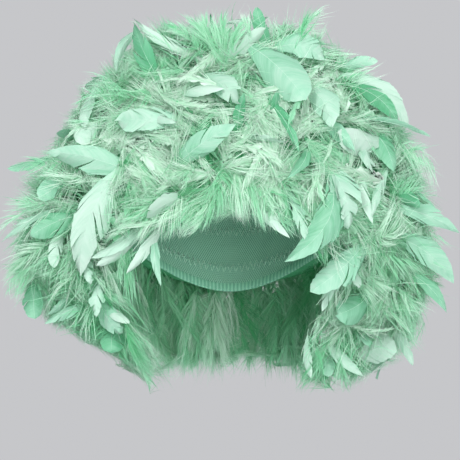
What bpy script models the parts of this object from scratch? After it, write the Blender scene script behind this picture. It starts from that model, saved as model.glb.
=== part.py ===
"""A feather wig: a stretch cap that a head goes into, and feather boas sewn round it in rows.

Metres, +Z up. The open face side looks along -Y. The origin is the point inside the cap where
the crown of the head touches it. A turn is an angle round the head, 0 at the forehead and a
quarter turn at the +X side. A share is a place down the cap, 0 at the crown and 1 at its edge.
"""

import math
import random
from collections import namedtuple

import bmesh
import bpy
from mathutils import Vector

# The head that goes in
HEAD_BREADTH = 0.152
HEAD_LENGTH = 0.192
CROWN_HEIGHT = 0.095  # from the crown down to the head's widest level

# The cap
CAP_WALL = 0.0015
HEM_WALL = 0.003
FOREHEAD_EDGE = 0.062  # depths of the cap's edge under the crown
TEMPLE_EDGE = 0.116
NAPE_EDGE = 0.150
NAPE_TUCK = 0.28  # how fast the cap draws in below the head's widest level
HEM_SHARE = 0.985  # the last row of feathers ends here, at the hem
SEGMENTS = 24  # facets round the head

# The feathers
FEATHER_LENGTH = 0.082
FEATHER_WIDTH = 0.046
FEATHER_THICKNESS = 0.008
CROWN_SHARE = 0.12  # the tuft covers the crown down to here
TUFT_RING = 0.78  # its locks stand here, of the way to its end, round one in the middle
TUFT_WIDTH = 0.60  # and are this wide, of a row's locks
ROW_FILL = 0.92  # of a row's pitch, so that neighbours stay apart
BODY_SHARE = 0.62  # depth of a row's downy body, of the reach of its feathers
SEAT_GAP = 0.0003  # between the cap and what is sewn on it
SEED = 6

# One row for each ring of feathers, from the crown down. Reach is how far the feathers stand
# off the cap and fall is how far they hang down it, as shares of FEATHER_LENGTH, at the
# forehead, the temple and the nape.
Ring = namedtuple("Ring", "name feathers reach_front reach_side reach_back fall_front fall_side fall_back")
RINGS = (
    Ring("crown_tuft", 5, 0.84, 0.84, 0.84, 0.30, 0.34, 0.32),
    Ring("boa_row_1", 12, 0.84, 0.94, 0.86, 0.18, 0.16, 0.20),
    Ring("boa_row_2", 14, 0.78, 1.02, 0.90, 0.22, 0.20, 0.26),
    Ring("boa_row_3", 16, 0.72, 1.04, 0.90, 0.26, 0.26, 0.34),
    Ring("boa_row_4", 18, 0.62, 1.00, 0.88, 0.30, 0.38, 0.46),
    Ring("boa_row_5", 18, 0.50, 0.94, 0.78, 0.36, 0.62, 0.70),
    Ring("edge_row", 20, 0.30, 0.64, 0.48, 0.44, 1.04, 1.06),
)

# A lock of feathers from root to tip: places along it, and shares of its width and thickness
LockSection = namedtuple("LockSection", "along width thickness")
LOCK_SECTIONS = (
    LockSection(0.10, 0.00, 0.00),
    LockSection(0.26, 0.62, 1.00),
    LockSection(0.50, 0.96, 0.62),
    LockSection(0.72, 1.00, 0.42),
    LockSection(0.90, 0.60, 0.26),
    LockSection(1.00, 0.00, 0.00),
)
LOCK_SIDES = 4
LENGTH_SPREAD = 0.15  # locks differ by this much of their length
TURN_SPREAD = 0.20  # stand this far out of even spacing, of their spacing
SWIRL_SPREAD = 0.22  # and lean this far to one side, in radians
STAGGER = 0.20  # and sit this far up or down in their row by turns, of its pitch
LOCK_FILL = 0.32  # thickness of a lock's root, of its row's pitch

# Section of a row's downy body: places across it as shares of the row's half width, and up it
# as shares of its depth. The first two lie on the cap.
BodySection = namedtuple("BodySection", "across up")
BODY_SECTIONS = (
    BodySection(-1.0, 0.00),
    BodySection(1.0, 0.00),
    BodySection(0.86, 0.70),
    BodySection(0.0, 1.00),
    BodySection(-0.86, 0.70),
)

# Section of the crown tuft's body, from the top down and back in under it
TUFT_SECTIONS = (
    BodySection(0.0, 1.00),
    BodySection(0.5, 0.94),
    BodySection(0.9, 0.60),
    BodySection(1.0, 0.00),
    BodySection(0.5, 0.00),
    BodySection(0.0, 0.00),
)

ROW_COUNT = len(RINGS) - 1
PITCH = (HEM_SHARE - CROWN_SHARE) / ROW_COUNT
HALF_ROW = PITCH * ROW_FILL / 2
CROWN_END = CROWN_SHARE - (PITCH / 2 - HALF_ROW)
HALF_BREADTH = HEAD_BREADTH / 2 + CAP_WALL
HALF_LENGTH = HEAD_LENGTH / 2 + CAP_WALL
DOME = CROWN_HEIGHT + CAP_WALL


def around(turn, front, side, back):
    """The value at a turn of something known at the forehead, the temple and the nape."""
    end = front if math.cos(turn) > 0 else back
    return side + (end - side) * math.cos(turn) ** 2


def edge_angle(turn):
    """The cap's edge as an angle from the crown, a quarter turn being the widest level."""
    depth = around(turn, FOREHEAD_EDGE, TEMPLE_EDGE, NAPE_EDGE)
    if depth < CROWN_HEIGHT:
        return math.acos(1 - depth / CROWN_HEIGHT)
    return math.pi / 2 + (depth - CROWN_HEIGHT) / CROWN_HEIGHT


def cap_point(turn, share):
    """A point of the cap's outer side."""
    angle = share * edge_angle(turn)
    below = max(angle - math.pi / 2, 0)
    across = math.sin(min(angle, math.pi / 2)) * (1 - NAPE_TUCK * below**2)
    height = math.cos(angle) if below == 0 else -below
    return Vector((
        HALF_BREADTH * across * math.sin(turn),
        -HALF_LENGTH * across * math.cos(turn),
        CAP_WALL + DOME * (height - 1),
    ))


def outward(turn, share):
    """The direction straight out of the cap."""
    angle = min(share * edge_angle(turn), math.pi / 2)
    return Vector((
        math.sin(angle) * math.sin(turn) / HALF_BREADTH,
        -math.sin(angle) * math.cos(turn) / HALF_LENGTH,
        math.cos(angle) / DOME,
    )).normalized()


def downhill(turn, share):
    """The direction down the cap, away from the crown."""
    step = 0.01
    return (cap_point(turn, share + step) - cap_point(turn, share)).normalized()


def feather_point(ring, turn, share, along):
    """A point on the path of a feather, from its foot on the cap to its tip at along 1."""
    reach = around(turn, ring.reach_front, ring.reach_side, ring.reach_back) * FEATHER_LENGTH
    fall = around(turn, ring.fall_front, ring.fall_side, ring.fall_back) * FEATHER_LENGTH
    foot = cap_point(turn, share)
    return foot + outward(turn, share) * reach * along + downhill(turn, share) * fall * along**2


def seat_point(turn, share):
    """A point that lies on the cap, clear of it by the gap of a sewn seam."""
    return cap_point(turn, share) + outward(turn, share) * SEAT_GAP


def new_object(name, mesh, collection):
    """An object that holds the mesh, in the collection."""
    made = bpy.data.objects.new(name, mesh)
    collection.objects.link(made)
    return made


def to_mesh(shape, name):
    """The mesh of a bmesh, with its faces turned outward."""
    bmesh.ops.recalc_face_normals(shape, faces=shape.faces)
    mesh = bpy.data.meshes.new(name)
    shape.to_mesh(mesh)
    shape.free()
    return mesh


def ring_of(vertex, rings):
    """The ring of a unit sphere that a vertex is on, counted from the top pole."""
    return round(math.acos(max(-1.0, min(1.0, vertex.co.z))) / math.pi * rings)


def turn_of(vertex):
    """The turn of a vertex of a unit sphere."""
    return math.atan2(vertex.co.x, -vertex.co.y)


def cap_shares():
    """Places down the cap where its facets meet, which are those of what is sewn on it."""
    shares = [0.0, CROWN_END / 2, CROWN_END]
    for row in range(ROW_COUNT):
        middle = CROWN_SHARE + (row + 0.5) * PITCH
        shares += [middle - HALF_ROW, middle + HALF_ROW]
    return shares + [1.0]


def make_cap(collection, material):
    """The stretch cap: a dome with an open face side, and a doubled hem."""
    shares = cap_shares()
    rings = 2 * (len(shares) - 1)
    shape = bmesh.new()
    bmesh.ops.create_uvsphere(shape, u_segments=SEGMENTS, v_segments=rings, radius=1)
    lower = [v for v in shape.verts if ring_of(v, rings) >= len(shares)]
    bmesh.ops.delete(shape, geom=lower, context="VERTS")
    hem = []
    for vertex in shape.verts:
        ring = ring_of(vertex, rings)
        vertex.co = cap_point(turn_of(vertex), shares[ring])
        if ring == len(shares) - 1:
            hem.append(vertex.index)
    cap = new_object("wig_cap", to_mesh(shape, "wig_cap"), collection)
    walls = cap.vertex_groups.new(name="wall")
    walls.add(range(len(cap.data.vertices)), CAP_WALL / HEM_WALL, "REPLACE")
    walls.add(hem, 1, "REPLACE")
    shell = cap.modifiers.new("wall", "SOLIDIFY")
    shell.thickness = HEM_WALL
    shell.offset = -1
    shell.vertex_group = walls.name
    cap.data.materials.append(material)
    cap.data.shade_smooth()
    return cap


def make_row_body(ring, middle, collection):
    """The downy body of a boa row, a fat ring that lies on the cap."""
    sides = len(BODY_SECTIONS)
    bpy.ops.mesh.primitive_torus_add(major_segments=SEGMENTS, minor_segments=sides)
    body = bpy.context.object
    for index, vertex in enumerate(body.data.vertices):
        major, minor = divmod(index, sides)
        turn = 2 * math.pi * major / SEGMENTS
        section = BODY_SECTIONS[minor]
        share = middle + section.across * HALF_ROW
        if section.up:
            vertex.co = feather_point(ring, turn, share, section.up * BODY_SHARE)
        else:
            vertex.co = seat_point(turn, share)
    shape = bmesh.new()
    shape.from_mesh(body.data)
    bpy.data.objects.remove(body)
    return new_object(ring.name, to_mesh(shape, ring.name), collection)


def make_tuft_body(ring, collection):
    """The downy body of the crown tuft, a low mound."""
    rings = len(TUFT_SECTIONS) - 1
    shape = bmesh.new()
    bmesh.ops.create_uvsphere(shape, u_segments=SEGMENTS, v_segments=rings, radius=1)
    for vertex in shape.verts:
        section = TUFT_SECTIONS[ring_of(vertex, rings)]
        turn = turn_of(vertex)
        share = section.across * CROWN_END
        if section.up:
            vertex.co = feather_point(ring, turn, share, section.up * BODY_SHARE)
        else:
            vertex.co = seat_point(turn, share)
    return new_object(ring.name, to_mesh(shape, ring.name), collection)


def make_lock(ring, turn, share, length, swirl, full_width, thickness, collection):
    """One lock of feathers, from inside the body of its ring out to its tip."""
    rings = len(LOCK_SECTIONS) - 1
    shape = bmesh.new()
    bmesh.ops.create_uvsphere(shape, u_segments=LOCK_SIDES, v_segments=rings, radius=1)
    step = 0.02
    for vertex in shape.verts:
        section = LOCK_SECTIONS[ring_of(vertex, rings)]
        angle = turn_of(vertex)
        along = section.along * length
        here = turn + swirl * section.along
        point = feather_point(ring, here, share, along)
        forward = (feather_point(ring, here, share, along + step) - point).normalized()
        side = forward.cross(outward(here, share) + downhill(here, share) * -1).normalized()
        up = side.cross(forward)
        width = full_width / 2 * section.width * math.sin(angle)
        depth = thickness / 2 * section.thickness * math.cos(angle)
        vertex.co = point + side * width + up * depth
    lock = new_object("lock", to_mesh(shape, "lock"), collection)
    lock.hide_render = True
    lock.display_type = "WIRE"


def lock_thickness(turn, share):
    """Thickness of a lock's root, which leaves room for the next layer of its row."""
    pitch = (cap_point(turn, share + PITCH / 2) - cap_point(turn, share - PITCH / 2)).length
    return min(FEATHER_THICKNESS, LOCK_FILL * pitch)


def make_row_locks(ring, middle, luck, locks):
    """The locks of a boa row, by turns in its upper and its lower layer."""
    for number in range(ring.feathers):
        turn = 2 * math.pi * (number + luck.uniform(-TURN_SPREAD, TURN_SPREAD)) / ring.feathers
        share = middle + (1 if number % 2 else -1) * STAGGER * PITCH
        length = 1 + luck.uniform(-LENGTH_SPREAD, LENGTH_SPREAD)
        swirl = luck.uniform(-SWIRL_SPREAD, SWIRL_SPREAD)
        thickness = lock_thickness(turn, share)
        make_lock(ring, turn, share, length, swirl, FEATHER_WIDTH, thickness, locks)


def make_tuft_locks(ring, luck, locks):
    """The locks of the crown tuft, in a ring round one that stands in the middle."""
    width = FEATHER_WIDTH * TUFT_WIDTH
    thickness = lock_thickness(0, CROWN_SHARE)
    for number in range(ring.feathers):
        turn = 2 * math.pi * number / ring.feathers
        length = 1 + luck.uniform(-LENGTH_SPREAD, LENGTH_SPREAD)
        make_lock(ring, turn, TUFT_RING * CROWN_END, length, 0, width, thickness, locks)
    make_lock(ring, 0, 0, 1, 0, width * TUFT_WIDTH, thickness, locks)


def fuse(body, locks):
    """Joins the locks of a ring to its body."""
    join = body.modifiers.new("locks", "BOOLEAN")
    join.operation = "UNION"
    join.operand_type = "COLLECTION"
    join.collection = locks
    join.solver = "EXACT"


def new_material(name, colour, roughness):
    """A plain surface of one colour."""
    material = bpy.data.materials.new(name)
    material.use_nodes = True
    shader = material.node_tree.nodes["Principled BSDF"]
    shader.inputs["Base Color"].default_value = (*colour, 1)
    shader.inputs["Roughness"].default_value = roughness
    shader.inputs["Metallic"].default_value = 0
    return material


def main():
    """Clears the scene and builds the wig."""
    for leftover in list(bpy.data.objects):
        bpy.data.objects.remove(leftover)
    wig = bpy.data.collections.new("feather_wig")
    guides = bpy.data.collections.new("guides")
    bpy.context.scene.collection.children.link(wig)
    bpy.context.scene.collection.children.link(guides)
    luck = random.Random(SEED)
    make_cap(wig, new_material("stretch_knit", (0.30, 0.62, 0.45), 0.9))
    for row, ring in enumerate(RINGS):
        locks = bpy.data.collections.new(f"{ring.name}_locks")
        guides.children.link(locks)
        if row == 0:
            body = make_tuft_body(ring, wig)
            make_tuft_locks(ring, luck, locks)
        else:
            middle = CROWN_SHARE + (row - 0.5) * PITCH
            body = make_row_body(ring, middle, wig)
            make_row_locks(ring, middle, luck, locks)
        fuse(body, locks)
        tint = (0.42 + 0.04 * (row % 2), 0.80, 0.60)
        body.data.materials.append(new_material(f"{ring.name}_feathers", tint, 0.8))


main()
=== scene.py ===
"""The looks of the feather wig: rows of downy boa with smooth feathers, on a net cap.

Metres, +Z up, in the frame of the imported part. The open side looks along -Y, and the origin is
where the crown of the wearer's head touches the cap. A turn is an angle round the cap, 0 at the
front and a quarter turn at the +X side. A share is a place down the cap, 0 at the crown and 1 at
its edge.
"""

import logging
import math
from collections.abc import Sequence
from dataclasses import dataclass
from enum import Enum
from typing import NamedTuple, Union

import bpy
import numpy as np
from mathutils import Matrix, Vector


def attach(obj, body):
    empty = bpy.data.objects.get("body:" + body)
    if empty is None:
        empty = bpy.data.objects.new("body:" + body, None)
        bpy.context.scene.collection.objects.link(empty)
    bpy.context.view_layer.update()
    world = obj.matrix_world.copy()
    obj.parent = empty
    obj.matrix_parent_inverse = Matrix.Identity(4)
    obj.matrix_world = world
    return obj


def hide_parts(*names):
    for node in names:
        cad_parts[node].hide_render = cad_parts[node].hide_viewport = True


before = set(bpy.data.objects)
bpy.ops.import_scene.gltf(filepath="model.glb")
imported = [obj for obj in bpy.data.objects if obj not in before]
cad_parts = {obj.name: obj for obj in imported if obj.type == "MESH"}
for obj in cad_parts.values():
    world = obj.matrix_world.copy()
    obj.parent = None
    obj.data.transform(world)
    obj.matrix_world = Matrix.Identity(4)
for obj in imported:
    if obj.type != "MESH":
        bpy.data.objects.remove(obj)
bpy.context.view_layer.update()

LOG = logging.getLogger("feather_wig")

Array = np.ndarray
Luck = np.random.Generator

ROWS = ("crown_tuft", "boa_row_1", "boa_row_2", "boa_row_3", "boa_row_4", "boa_row_5", "edge_row")
MAP_NAME = "OFBake"
DOWNWARD = np.array([0.0, 0.0, -1.0])
# The least and the greatest place that a strand of down may reach
REACH = np.array([[-0.177, -0.152, -0.236], [0.189, 0.191, 0.088]])
MILLIMETRE = 0.001
FULL_TURN = 2 * math.pi
NO_TRIANGLES = np.empty((0, 3), int)


class DyeAndLight(Enum):
    """How pale a feather looks: partly how deep it took the dye, partly painted light and shade for how much
    light it catches. 0 deep, 1 pale.
    """

    DEEP = 0.02
    SHADE = 0.28
    MID = 0.52
    LIGHT = 0.76
    BRIGHT = 0.96


DEEP, SHADE, MID, LIGHT, BRIGHT = DyeAndLight


# Arrays of vectors


def unit(vectors: Array) -> Array:
    """The vectors at length 1."""
    return vectors / np.maximum(np.linalg.norm(vectors, axis=-1, keepdims=True), 1e-9)


def cross(one: Array, other: Array) -> Array:
    """The cross product of two arrays of vectors, at length 1."""
    return unit(np.cross(one, other))


@dataclass
class Patch:
    """A surface in arrays: points, faces, a place on the finish's map and a tone at each point."""

    points: Array
    quads: Array
    triangles: Array
    spots: Array
    tones: Array

    @staticmethod
    def join(patches: Sequence["Patch"]) -> "Patch":
        """One patch that holds all of the patches."""
        starts = np.cumsum([0] + [len(patch.points) for patch in patches])
        return Patch(
            np.concatenate([patch.points for patch in patches]),
            np.concatenate([patch.quads + start for patch, start in zip(patches, starts)]),
            np.concatenate([patch.triangles + start for patch, start in zip(patches, starts)]),
            np.concatenate([patch.spots for patch in patches]),
            np.concatenate([patch.tones for patch in patches]),
        )

    def without_loose_points(self) -> "Patch":
        """The same surface with the points that no face uses left out.

        Returns:
            The surface.
        """
        used = np.zeros(len(self.points), bool)
        used[self.quads.ravel()] = True
        used[self.triangles.ravel()] = True
        number = np.cumsum(used) - 1
        quads, triangles = number[self.quads], number[self.triangles]
        return Patch(self.points[used], quads, triangles, self.spots[used], self.tones[used])

    def to_object(self, name: str, material: bpy.types.Material) -> bpy.types.Object:
        """The patch as an object in the scene.

        Args:
            name: The object's name.
            material: Its finish.

        Returns:
            The new object.
        """
        mesh = bpy.data.meshes.new(name)
        corners = np.concatenate([self.quads.ravel(), self.triangles.ravel()]).astype(np.int32)
        sizes = np.repeat([4, 3], [len(self.quads), len(self.triangles)])
        mesh.vertices.add(len(self.points))
        mesh.vertices.foreach_set("co", self.points.astype(np.float32).ravel())
        mesh.loops.add(len(corners))
        mesh.loops.foreach_set("vertex_index", corners)
        mesh.polygons.add(len(sizes))
        mesh.polygons.foreach_set("loop_start", (np.cumsum(sizes) - sizes).astype(np.int32))
        mesh.update(calc_edges=True)
        spots = mesh.uv_layers.new(name=MAP_NAME)
        spots.uv.foreach_set("vector", self.spots[corners].astype(np.float32).ravel())
        tones = mesh.attributes.new("tone", "FLOAT", "POINT")
        tones.data.foreach_set("value", self.tones.astype(np.float32))
        mesh.shade_smooth()
        mesh.materials.append(material)
        made = bpy.data.objects.new(name, mesh)
        bpy.context.scene.collection.objects.link(made)
        return made


# Finishes


class Wire:
    """A socket that carries a number, and adds a Math node for each sum made with it."""

    def __init__(self, paint: "Paint", socket: bpy.types.NodeSocket) -> None:
        """Wraps the socket of a node of the paint."""
        self.paint = paint
        self.socket = socket

    def _maths(self, operation: str, *values: Union["Wire", float]) -> "Wire":
        """The result of one Math node."""
        inputs = dict(enumerate(values))
        return self.paint.node("ShaderNodeMath", {"operation": operation}, inputs)

    def __add__(self, other: Union["Wire", float]) -> "Wire":
        """The sum."""
        return self._maths("ADD", self, other)

    def __sub__(self, other: Union["Wire", float]) -> "Wire":
        """The difference."""
        return self._maths("SUBTRACT", self, other)

    def __rsub__(self, other: float) -> "Wire":
        """The difference, from a number."""
        return self._maths("SUBTRACT", other, self)

    def __mul__(self, other: Union["Wire", float]) -> "Wire":
        """The product."""
        return self._maths("MULTIPLY", self, other)

    def __pow__(self, power: float) -> "Wire":
        """The power."""
        return self._maths("POWER", self, power)

    def sine(self) -> "Wire":
        """The sine."""
        return self._maths("SINE", self)

    def clamped(self) -> "Wire":
        """The value held between 0 and 1."""
        return self.paint.node("ShaderNodeClamp", {}, {"Value": self})

    __radd__ = __add__
    __rmul__ = __mul__


Setting = Union[Wire, float, Sequence[float]]


class Paint:
    """A new material, and the nodes that give it its finish."""

    def __init__(self, name: str) -> None:
        """Starts a material with a surface shader and its output."""
        self.material = bpy.data.materials.new(name)
        self.material.use_nodes = True
        self.tree = self.material.node_tree
        self.surface = self.tree.nodes["Principled BSDF"]
        self.output = self.tree.nodes["Material Output"]

    def node(self, kind: str, settings: dict[str, object], inputs: dict[Union[str, int], Setting],
             output: Union[str, int] = 0) -> Wire:
        """Adds one node.

        Args:
            kind: The node's type.
            settings: Its settings. The settings of a colour ramp are its stops, as "stops".
            inputs: The values or links of its sockets, by name or number.
            output: The output to read, by name or number.

        Returns:
            The output that was asked for.
        """
        made = self.tree.nodes.new(kind)
        for setting, value in settings.items():
            if setting == "stops":
                self._set_stops(made, value)
            else:
                setattr(made, setting, value)
        for socket, value in inputs.items():
            self.feed(made.inputs[socket], value)
        return Wire(self, made.outputs[output])

    def _set_stops(self, ramp: bpy.types.Node, stops: Sequence[tuple[float, Sequence[float]]]) -> None:
        """Gives a ramp its stops."""
        elements = ramp.color_ramp.elements
        while len(elements) < len(stops):
            elements.new(0.5)
        for element, (place, colour) in zip(elements, stops):
            element.position = place
            element.color = (*colour, 1.0)

    def feed(self, socket: bpy.types.NodeSocket, value: Setting) -> None:
        """Links a wire to the socket, or sets its value."""
        if isinstance(value, Wire):
            self.tree.links.new(value.socket, socket)
        elif isinstance(value, (int, float)):
            socket.default_value = value
        elif len(value) == 3 and socket.type == "RGBA":
            socket.default_value = (*value, 1.0)
        else:
            socket.default_value = value

    def mix(self, share: Setting, one: Setting, other: Setting) -> Wire:
        """A colour between two colours."""
        return self.node("ShaderNodeMix", {"data_type": "RGBA"}, {0: share, 6: one, 7: other}, 2)

    def scaled(self, vector: Wire, factors: Sequence[float]) -> Wire:
        """A vector with each part times its own factor."""
        return self.node("ShaderNodeVectorMath", {"operation": "MULTIPLY"}, {0: vector, 1: factors})

    def noise(self, vector: Wire, scale: float, detail: float = 2.0) -> Wire:
        """Noise from 0 to 1."""
        return self.node("ShaderNodeTexNoise", {}, {"Vector": vector, "Scale": scale, "Detail": detail})

    def attribute(self, name: str) -> Wire:
        """A number that the mesh holds at its points."""
        return self.node("ShaderNodeAttribute", {"attribute_name": name}, {}, "Fac")

    def map_place(self) -> Wire:
        """The place on the finish's own map."""
        return self.node("ShaderNodeUVMap", {"uv_map": MAP_NAME}, {})

    def part(self, vector: Wire, axis: str) -> Wire:
        """One part of a vector, by its axis."""
        return self.node("ShaderNodeSeparateXYZ", {}, {0: vector}, axis)

    def ramp(self, value: Wire, stops: Sequence[tuple[float, Sequence[float]]]) -> Wire:
        """A colour from a ramp."""
        return self.node("ShaderNodeValToRGB", {"stops": stops}, {0: value})

    def bump(self, height: Wire, strength: float, depth: float) -> Wire:
        """A normal from a height."""
        inputs = {"Height": height, "Strength": strength, "Distance": depth}
        return self.node("ShaderNodeBump", {}, inputs)

    def dress(self, colour: Setting, roughness: Setting, normal: Union[Wire, None] = None,
              **others: float) -> None:
        """Feeds the surface shader.

        Args:
            colour: The base colour.
            roughness: The roughness.
            normal: The normal, if a bump gives one.
            others: Values of other sockets, with _ for the spaces in their names.
        """
        self.feed(self.surface.inputs["Base Color"], colour)
        self.feed(self.surface.inputs["Roughness"], roughness)
        if normal:
            self.feed(self.surface.inputs["Normal"], normal)
        for name, value in others.items():
            self.feed(self.surface.inputs[name.replace("_", " ")], value)

    def let_light_through(self, share: float, colour: "Colour") -> None:
        """Mixes in light from the back, as through a thin vane, of one colour all over."""
        through = self.node("ShaderNodeBsdfTranslucent", {}, {"Color": colour})
        front = Wire(self, self.surface.outputs[0])
        both = self.node("ShaderNodeMixShader", {}, {0: share, 1: front, 2: through})
        self.feed(self.output.inputs["Surface"], both)


Colour = tuple[float, float, float]


@dataclass(frozen=True)
class DownFinish:
    """Marabou down: darker where the barbs root in the boa, partly deeper dye and partly painted shade, and
    pale and dry at the tips.
    """

    deep: Colour = (0.075, 0.395, 0.165)
    middle: Colour = (0.375, 0.700, 0.505)
    pale: Colour = (0.815, 0.905, 0.850)
    glow: Colour = (0.340, 0.740, 0.490)
    tone_gain: float = 1.15
    darker: float = 0.12
    speckle_gain: float = 0.72
    tip_gain: float = 0.10
    root_shade: float = 0.50
    through: float = 0.48

    def make(self) -> bpy.types.Material:
        """Mixes the finish.

        Returns:
            The material.
        """
        paint = Paint("marabou_down")
        place = paint.map_place()
        along = paint.part(place, "X")
        tone = paint.attribute("tone")
        speckle = paint.noise(paint.scaled(place, (5.0, 420.0, 1.0)), 1.0, 3.0)
        level = tone * self.tone_gain - self.darker
        value = (level + (speckle - 0.5) * self.speckle_gain + along * self.tip_gain).clamped()
        colour = paint.ramp(value, [(0.0, self.deep), (0.5, self.middle), (1.0, self.pale)])
        # Painted shade, with deeper dye, darkens the barbs toward their roots in the boa
        root = ((1.0 - along) ** 2.0) * self.root_shade
        shaded = paint.mix(root, colour, self.deep)
        paint.dress(shaded, 0.75, Specular_IOR_Level=0.22, Sheen_Weight=0.04)
        paint.let_light_through(self.through, self.glow)
        return paint.material


@dataclass(frozen=True)
class VaneFinish:
    """Smooth feathers: satin, with fine slanted barbs and a pale shaft."""

    deep: Colour = (0.085, 0.345, 0.178)
    middle: Colour = (0.282, 0.530, 0.395)
    pale: Colour = (0.500, 0.652, 0.570)
    shaft: Colour = (0.540, 0.750, 0.640)
    glow: Colour = (0.250, 0.560, 0.385)
    barb_lines: float = 27.0
    fine_gain: float = 0.62
    broad_gain: float = 0.50
    through: float = 0.30

    def make(self) -> bpy.types.Material:
        """Mixes the finish.

        Returns:
            The material.
        """
        paint = Paint("smooth_vane")
        place = paint.map_place()
        tone = paint.attribute("tone")
        shaft = ((paint.part(place, "Y") - VaneAtlas.TOP) * 1000.0).clamped()
        cells = VaneAtlas.CELLS
        fine = paint.noise(paint.scaled(place, (self.barb_lines * cells, 1.8 * cells, 1.0)), 1.0, 4.0)
        broad = paint.noise(paint.scaled(place, (6.0 * cells, 1.6 * cells, 1.0)), 1.0)
        value = (tone + (fine - 0.5) * self.fine_gain + (broad - 0.5) * self.broad_gain).clamped()
        colour = paint.ramp(value, [(0.0, self.deep), (0.5, self.middle), (1.0, self.pale)])
        shafted = paint.mix(shaft, colour, self.shaft)
        normal = paint.bump(fine, 0.35, 0.4 * MILLIMETRE)
        roughness = (fine * 0.25 + 0.34).clamped()
        paint.dress(shafted, roughness, normal, Specular_IOR_Level=0.30, Sheen_Weight=0.05)
        paint.let_light_through(self.through, self.glow)
        return paint.material


@dataclass(frozen=True)
class ShadedCoreFinish:
    """The boa's dense inner down, matted, in deep greens that are painted shade of the depths between the
    plumes.
    """

    # Painted shade: both colours are darker than the down, for the shade deep inside the boa
    deep: Colour = (0.050, 0.310, 0.130)
    lit: Colour = (0.170, 0.560, 0.310)

    def make(self) -> bpy.types.Material:
        """Mixes the finish.

        Returns:
            The material.
        """
        paint = Paint("shaded_matted_core")
        place = paint.node("ShaderNodeTexCoord", {}, {}, "Object")
        strands = paint.noise(paint.scaled(place, (1.0, 1.0, 0.35)), 700.0, 4.0)
        clumps = paint.noise(place, 90.0)
        value = (strands * 0.7 + clumps * 0.6 - 0.25).clamped()
        colour = paint.ramp(value, [(0.0, self.deep), (1.0, self.lit)])
        normal = paint.bump(strands, 0.9, 1.5 * MILLIMETRE)
        paint.dress(colour, 0.9, normal, Specular_IOR_Level=0.1)
        return paint.material


@dataclass(frozen=True)
class NetFinish:
    """The stretch net of the cap, in fine slanted meshes."""

    thread: Colour = (0.400, 0.720, 0.560)
    hole: Colour = (0.110, 0.340, 0.220)
    mesh_size: float = 2.2 * MILLIMETRE

    def make(self) -> bpy.types.Material:
        """Mixes the finish.

        Returns:
            The material.
        """
        paint = Paint("cap_net")
        place = paint.map_place()
        across = paint.part(place, "X") * (0.60 / self.mesh_size)
        down = paint.part(place, "Y") * (0.30 / self.mesh_size)
        one = ((across + down) * math.pi).sine()
        other = ((across - down) * math.pi).sine()
        threads = (1.0 - (one * one) * (other * other) * 1.7).clamped()
        wear = paint.noise(place, 30.0)
        colour = paint.mix(threads, self.hole, self.thread)
        uneven = paint.mix(wear * 0.35, colour, self.hole)
        normal = paint.bump(threads, 0.8, 0.5 * MILLIMETRE)
        paint.dress(uneven, 0.8, normal, Specular_IOR_Level=0.25)
        return paint.material


@dataclass(frozen=True)
class BandFinish:
    """Woven elastic or thread: fine ribs along its length."""

    name: str
    light: Colour
    dark: Colour
    ribs: float

    def make(self) -> bpy.types.Material:
        """Mixes the finish.

        Returns:
            The material.
        """
        paint = Paint(self.name)
        place = paint.map_place()
        ribs = (paint.part(place, "X") * self.ribs).sine() * 0.5 + 0.5
        grain = paint.noise(paint.scaled(place, (300.0, 12.0, 1.0)), 1.0)
        share = (ribs * 0.7 + grain * 0.3).clamped()
        colour = paint.mix(share, self.dark, self.light)
        paint.dress(colour, 0.7, paint.bump(share, 0.7, 0.4 * MILLIMETRE), Specular_IOR_Level=0.3)
        return paint.material


@dataclass(frozen=True)
class FloorFinish:
    """The pale studio floor."""

    colour: Colour = (0.56, 0.565, 0.58)
    clouded: Colour = (0.5, 0.5, 0.51)

    def make(self) -> bpy.types.Material:
        """Mixes the finish.

        Returns:
            The material.
        """
        paint = Paint("studio_floor")
        place = paint.node("ShaderNodeTexCoord", {}, {}, "Object")
        cloud = paint.noise(place, 3.0)
        paint.dress(paint.mix(cloud * 0.08, self.colour, self.clouded), 0.8)
        return paint.material


# Forms


@dataclass(frozen=True)
class Viewpoint:
    """Where the photograph was taken from, level with the wig's lower half, looking along +Y."""

    distance: float = 1.30
    height: float = -0.101
    frame_pixels: float = 460.0
    pixel: float = 0.77 * MILLIMETRE
    sensor: float = 36.0

    def lens(self) -> float:
        """The lens, in millimetres, that gives a pixel its size at the middle of the wig."""
        return self.sensor * self.distance / (self.frame_pixels * self.pixel)

    def at_depth(self, pixels: Array, depth: Array) -> Array:
        """Points on the rays through some pixels.

        Args:
            pixels: Columns and rows in the photograph's frame, shape (N, 2).
            depth: How far behind the wig's middle each point lies, shape (N,).

        Returns:
            The points, shape (N, 3).
        """
        spread = (pixels - self.frame_pixels / 2) * self.pixel
        spread = spread * ((self.distance + depth) / self.distance)[:, None]
        return np.stack([spread[:, 0], depth, self.height - spread[:, 1]], -1)

    def pixels_of(self, points: Array) -> Array:
        """Where the photograph's frame shows some points.

        Args:
            points: Points, shape (..., 3).

        Returns:
            Their columns and rows, shape (..., 2).
        """
        size = self.pixel * (self.distance + points[..., 1]) / self.distance
        column = points[..., 0] / size
        row = (self.height - points[..., 2]) / size
        return np.stack([column, row], -1) + self.frame_pixels / 2


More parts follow.
